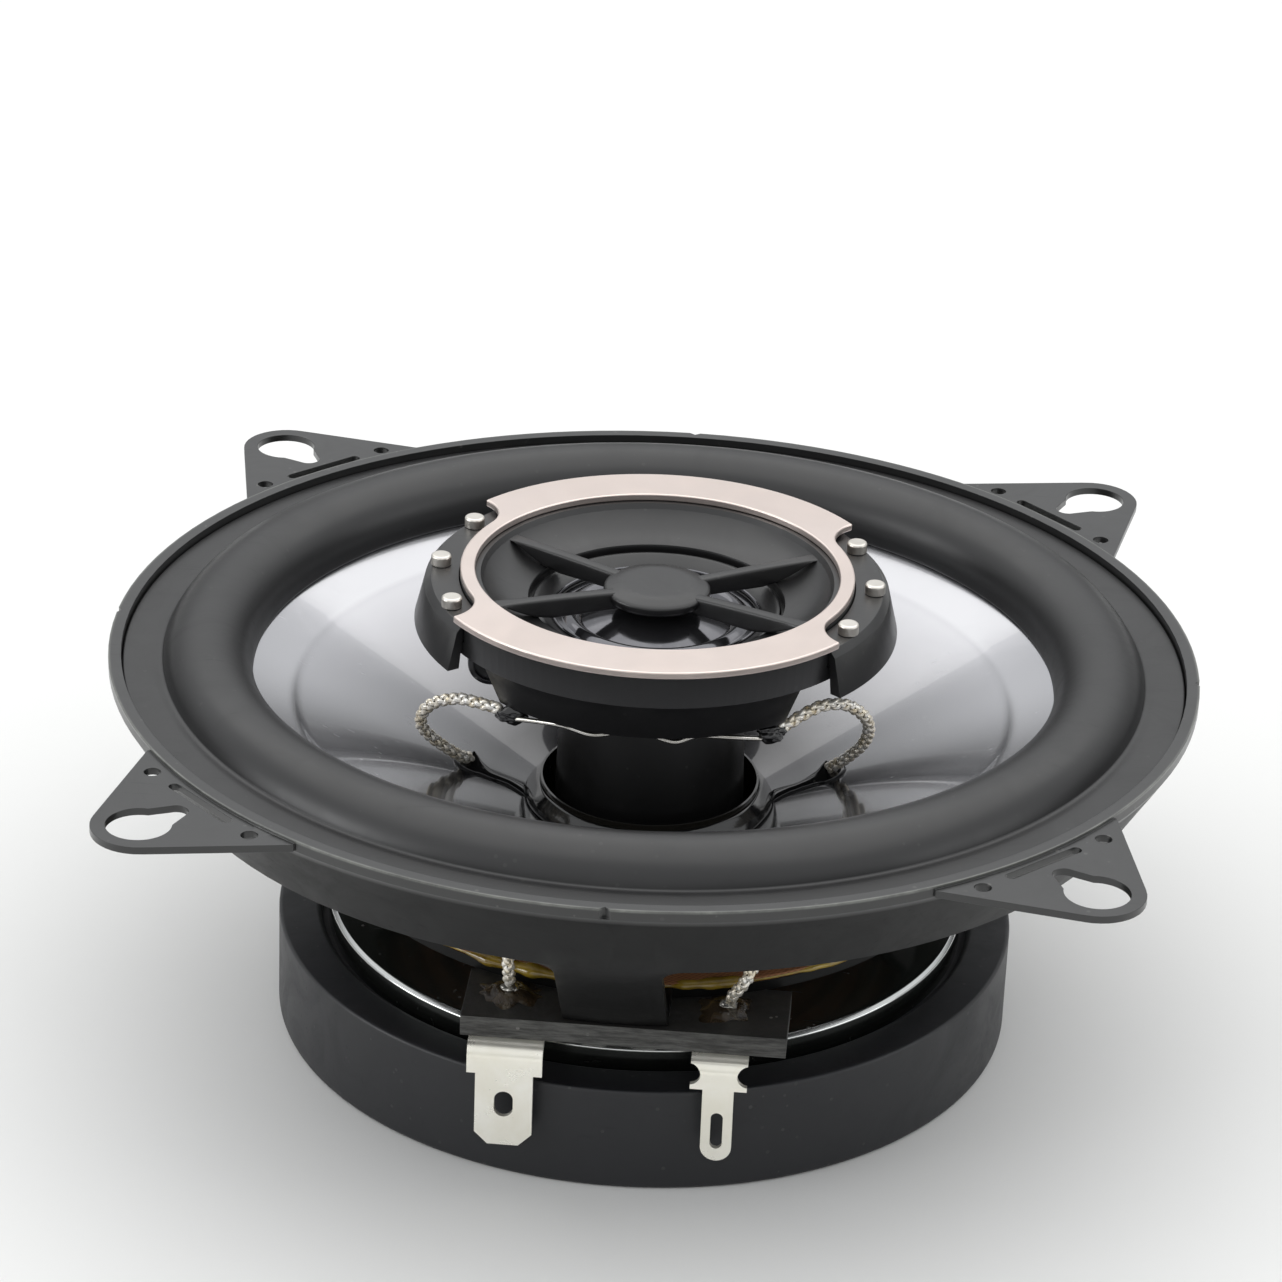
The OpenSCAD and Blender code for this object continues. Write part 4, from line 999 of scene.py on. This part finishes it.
braidLook = {"core": 0.36, "over": 0.12, "strandWide": 0.25, "strandThick": 0.14, "strands": 3, "pitch": 3.5}
leadRoutes = {
    "tweeterLeadLeft": ("tweeter_lead_left", [(-12.8, -14.2, -0.5), (-13.8, -13.9, -0.5), (-15.4, -13.2, -0.5),
        (-17.2, -12, -0.9), (-19.4, -10.5, -2.2),
        (-20.7, -9.2, -4), (-20.9, -8, -6), (-20, -6.5, -8), (-18.7, -5, -9.8), (-17.6, -3.4, -11.3),
        (-16.9, -2, -12.1)]),
    "tweeterLeadRight": ("tweeter_lead_right", [(12.4, -14.1, -0.8), (13.4, -13.4, -0.4), (14.6, -12.6, 0.2),
    (16.4, -11.2, 0.6), (18.4, -9.6, 0),
        (20, -7.8, -1.8), (20.6, -6, -4), (20.2, -4, -6.6), (19, -2, -9), (17.7, -0.2, -11),
        (16.9, 1.2, -12.2)]),
    "terminalLeadLeft": ("terminal_lead_left", [(-9.9, -30.2, -20), (-9.9, -31, -18.8), (-9.9, -31.8, -17.3),
    (-10, -32, -15.6), (-10.5, -31, -14),
        (-11.6, -28, -13), (-13.2, -23.5, -12.9), (-14.8, -18.5, -13.3), (-16, -13.5, -13.9),
        (-16.9, -8.6, -14.8), (-17.1, -4.6, -15.2),
        (-16.9, -2.4, -14.9), (-16.7, -1.6, -14.3)]),
    "terminalLeadRight": ("terminal_lead_right", [(9.9, -30.2, -20), (10.5, -31, -18.8), (11.3, -31.8, -17.2),
    (12, -32, -15.4), (12.4, -31, -13.8),
        (12.8, -28, -12.9), (13.8, -23.5, -12.9), (15, -18.5, -13.3), (16.2, -12.5, -13.9), (17, -6.6, -14.8),
        (17.2, -1.6, -15.2),
        (17, 0.6, -14.9), (16.7, 1.6, -14.3)]),
}


def makeBraid(name, node, points, b, seed):
    # Strands wind both ways round the route, over and under by turns; each is a flat oval in section
    count = 260
    route, length = smoothRoute(points, count)
    _, side, up = routeFrames(route)
    n = b["strands"]
    turn = np.linspace(0, length / b["pitch"] * 2 * np.pi, count)
    way = np.repeat([1.0, -1.0], n)[:, None]
    phase = np.tile(np.arange(n) * 2 * np.pi / n, 2)[:, None]
    angle = way * turn[None] + phase
    taper = roundedEnds(count, 1.0, 0.02)
    reach = (b["core"] + b["over"] * way * np.cos(n * turn[None])) * taper
    out = np.cos(angle)[..., None] * side + np.sin(angle)[..., None] * up
    centre = route + reach[..., None] * out
    along = np.gradient(centre, axis=1)
    along /= np.linalg.norm(along, axis=2)[..., None]
    across = np.cross(along, out)
    across /= np.linalg.norm(across, axis=2)[..., None]
    lift = np.cross(across, along)
    k = np.linspace(0, 2 * np.pi, 8, endpoint=False)
    wide = b["strandWide"] * taper[None, :, None, None] * np.cos(k)[None, None, :, None]
    thick = b["strandThick"] * taper[None, :, None, None] * np.sin(k)[None, None, :, None]
    grids = centre[:, :, None] + wide * across[:, :, None] + thick * lift[:, :, None]
    # Core tube under the strands, painted dark as the shade in the gaps between them
    core = tubeGrid(route, roundedEnds(count, b["core"] - 0.12, 0.02), 12)
    tones = np.r_[np.random.default_rng(seed).uniform(0, 1, 2 * n), -1.0]
    tones[: 2 * n] *= 0.5
    piece = loft(name, list(grids) + [core], False, "braid", None, (node,), 60, tones)
    _, co = pieceRadius(piece)
    bendOver(piece)


for i, (name, (node, points)) in enumerate(leadRoutes.items()):
    makeBraid(name, node, points, braidLook, 11 + i)

wireLook = {"radius": 0.24}
wireRoutes = [
    [(-11.7, -14.7, -1.2), (-10, -15.6, -0.8), (-7, -17, -0.35), (-4.4, -17.6, -0.75), (-2.4, -17.9, -0.35)],
    [(1.6, -18, -0.35), (3.4, -17.7, -0.85), (5.4, -17.2, -0.35), (8.8, -15.9, -0.9), (11.2, -14.6, -1.5)],
]
grids = []
for points in wireRoutes:
    route, _ = smoothRoute(points, 90)
    grids.append(tubeGrid(route, roundedEnds(90, wireLook["radius"], 0.05), 12))
loft("crossoverWires", grids, False, "tinnedWire", frameBody, ("crossover_wires",), 60)


def blob(centre, size, seed, lumps=0.12, rings=40, columns=56, power=1.0):
    # A ball stretched to size, its skin pushed in and out by smooth noise
    a = np.linspace(0.02, np.pi - 0.02, rings)[:, None]
    b = np.linspace(0, 2 * np.pi, columns, endpoint=False)[None]
    grid = np.stack([np.sin(a) ** power * np.cos(b), np.sin(a) ** power * np.sin(b), np.cos(a) + 0 * b], -1)
    grid = grid * (1 + lumps * noiseField(grid, 1.6, seed))[..., None]
    return grid * np.array(size) + np.array(centre)


padLook = {"at": 16.7, "turn": 5.5, "cone": -13.32, "slope": 0.487, "mound": 1.25, "spread": 1.35, "tail": 0.42}


def makePads(p):
    # Glue over each solder joint: a steep mound, and a tail that widens as it runs in to the coil
    grids = []
    for way in (0, 180):
        a = math.radians(way + p["turn"])
        u = np.linspace(-1.9, 5.0, 70)[:, None]  # inward distance from the joint
        v = np.sin(np.linspace(-np.pi / 2, np.pi / 2, 33))[None]
        wide = np.where(u < 0, p["spread"] * np.sqrt(np.clip(1 - (u / 1.95) ** 2, 0.001, 1)),
            p["spread"] - 0.75 * np.clip(u / 2.2, 0, 1) + 0.55 * np.clip((u - 3.2) / 2.0, 0, 1))
        dip = np.sqrt(np.clip(1 - v ** 2, 0, 1))
        rise = p["mound"] * np.exp(-np.hypot(u / 0.75, v * wide / 0.6) ** 1.5) + p["tail"] * dip ** 0.8
        rise = rise * np.clip((5.02 - u) / 0.25, 0, 1) ** 0.5 * np.clip((u + 1.92) / 0.5, 0, 1) ** 0.5
        r = p["at"] - u + 0 * v
        y = v * wide + 0.1 * np.sin(u * 1.9 + way)
        ground = p["cone"] + (r - p["at"]) * p["slope"]
        top = np.stack([r, y, ground + 0.02 + rise], -1)
        low = np.stack([r, y, ground - 0.08 + 0 * v], -1)[:, ::-1]
        ring = np.concatenate([top, low[:, 1:-1]], 1)
        x, y = ring[..., 0].copy(), ring[..., 1].copy()
        ring[..., 0], ring[..., 1] = x * math.cos(a) - y * math.sin(a), x * math.sin(a) + y * math.cos(a)
        grids.append(ring)
    loft("coneJoints", grids, False, "blackGlue", coneBody, ("lead_pads",), 60)


makePads(padLook)
glueLook = {"radius": 29.15, "height": -19.75, "bead": 0.62}


def makeGlueBead(g):
    # Amber bead along the spider's glued rim, heavy in some places and thin in others
    a = np.linspace(0, 2 * np.pi, 720, endpoint=False)
    k = np.linspace(0, 2 * np.pi, 14, endpoint=False)
    line = np.stack([g["radius"] * np.cos(a), g["radius"] * np.sin(a), g["height"] + 0 * a], 1)
    size = g["bead"] * (0.75 + 0.45 * noiseField(line, 9.0, 21)) * (1 + 0.5 * np.exp(-((a - 4.32) / 0.12) ** 2))
    size = np.clip(size, 0.3, 1.15)
    r = g["radius"] + size[None] * np.cos(k)[:, None]
    z = g["height"] + 0.75 * size[None] * np.sin(k)[:, None]
    loft("spiderGlue", [np.stack([r * np.cos(a), r * np.sin(a), z], -1)], True, "amberGlue", frameBody, (), 60)


makeGlueBead(glueLook)


def makeFlux(centre, size, seed):
    # Thin stain of burnt flux with an uneven edge, lying on the board
    a = np.linspace(0, 2 * np.pi, 90, endpoint=False)
    edge = 1 + 0.28 * noiseField(np.stack([np.cos(a), np.sin(a), 0 * a], 1) * 2, 2.2, seed)
    t = np.r_[np.linspace(0.04, 1, 16)][:, None]
    x, y = size[0] * t * edge * np.cos(a), size[1] * t * edge * np.sin(a)
    z = 0.11 * (1 - t ** 3) + 0.03 * noiseField(np.stack([x, y, 0 * x], -1), 0.7, seed + 5) * (1 - t ** 4)
    rise = 0.5 * np.exp(-(np.hypot(x, y) / 1.95) ** 6)  # lifts over the rivet's rim
    return np.stack([x + centre[0], y + centre[1], z + rise + centre[2]], -1)


fluxGrids = [makeFlux((-9.9, -30.25, -20.89), (2.7, 2.4), 5), makeFlux((9.9, -30.25, -20.89), (2.7, 2.4), 8)]
loft("boardFlux", fluxGrids, False, "flux", frameBody, (), 60)
solderBlobs = [blob((-9.9, -30.35, -20.4), (0.85, 0.85, 0.5), 1),
    blob((9.95, -30.4, -20.4), (0.85, 0.85, 0.5), 2)]
loft("boardSolder", solderBlobs, False, "solder", frameBody, (), 60)
wireBlobs = [blob((-11.9, -14.35, -0.95), (1.5, 0.9, 0.85), 11, 0.2),
    blob((11.9, -14.25, -1.05), (1.3, 0.9, 0.8), 12, 0.2)]
loft("wireGlue", wireBlobs, False, "blackGlue", frameBody, (), 60)
print("leads, wires and glue done")

# Floor

floorMesh = bpy.data.meshes.new("floor")
half = room["floorSize"] / 2
floorZ = cadBox[0][2]
floorMesh.from_pydata([(-half, -half, floorZ), (half, -half, floorZ), (half, half, floorZ),
    (-half, half, floorZ)], [], [(0, 1, 2, 3)])
floorMesh.materials.append(looks["floor"])
floor = bpy.data.objects.new("floor", floorMesh)
bpy.context.scene.collection.objects.link(floor)
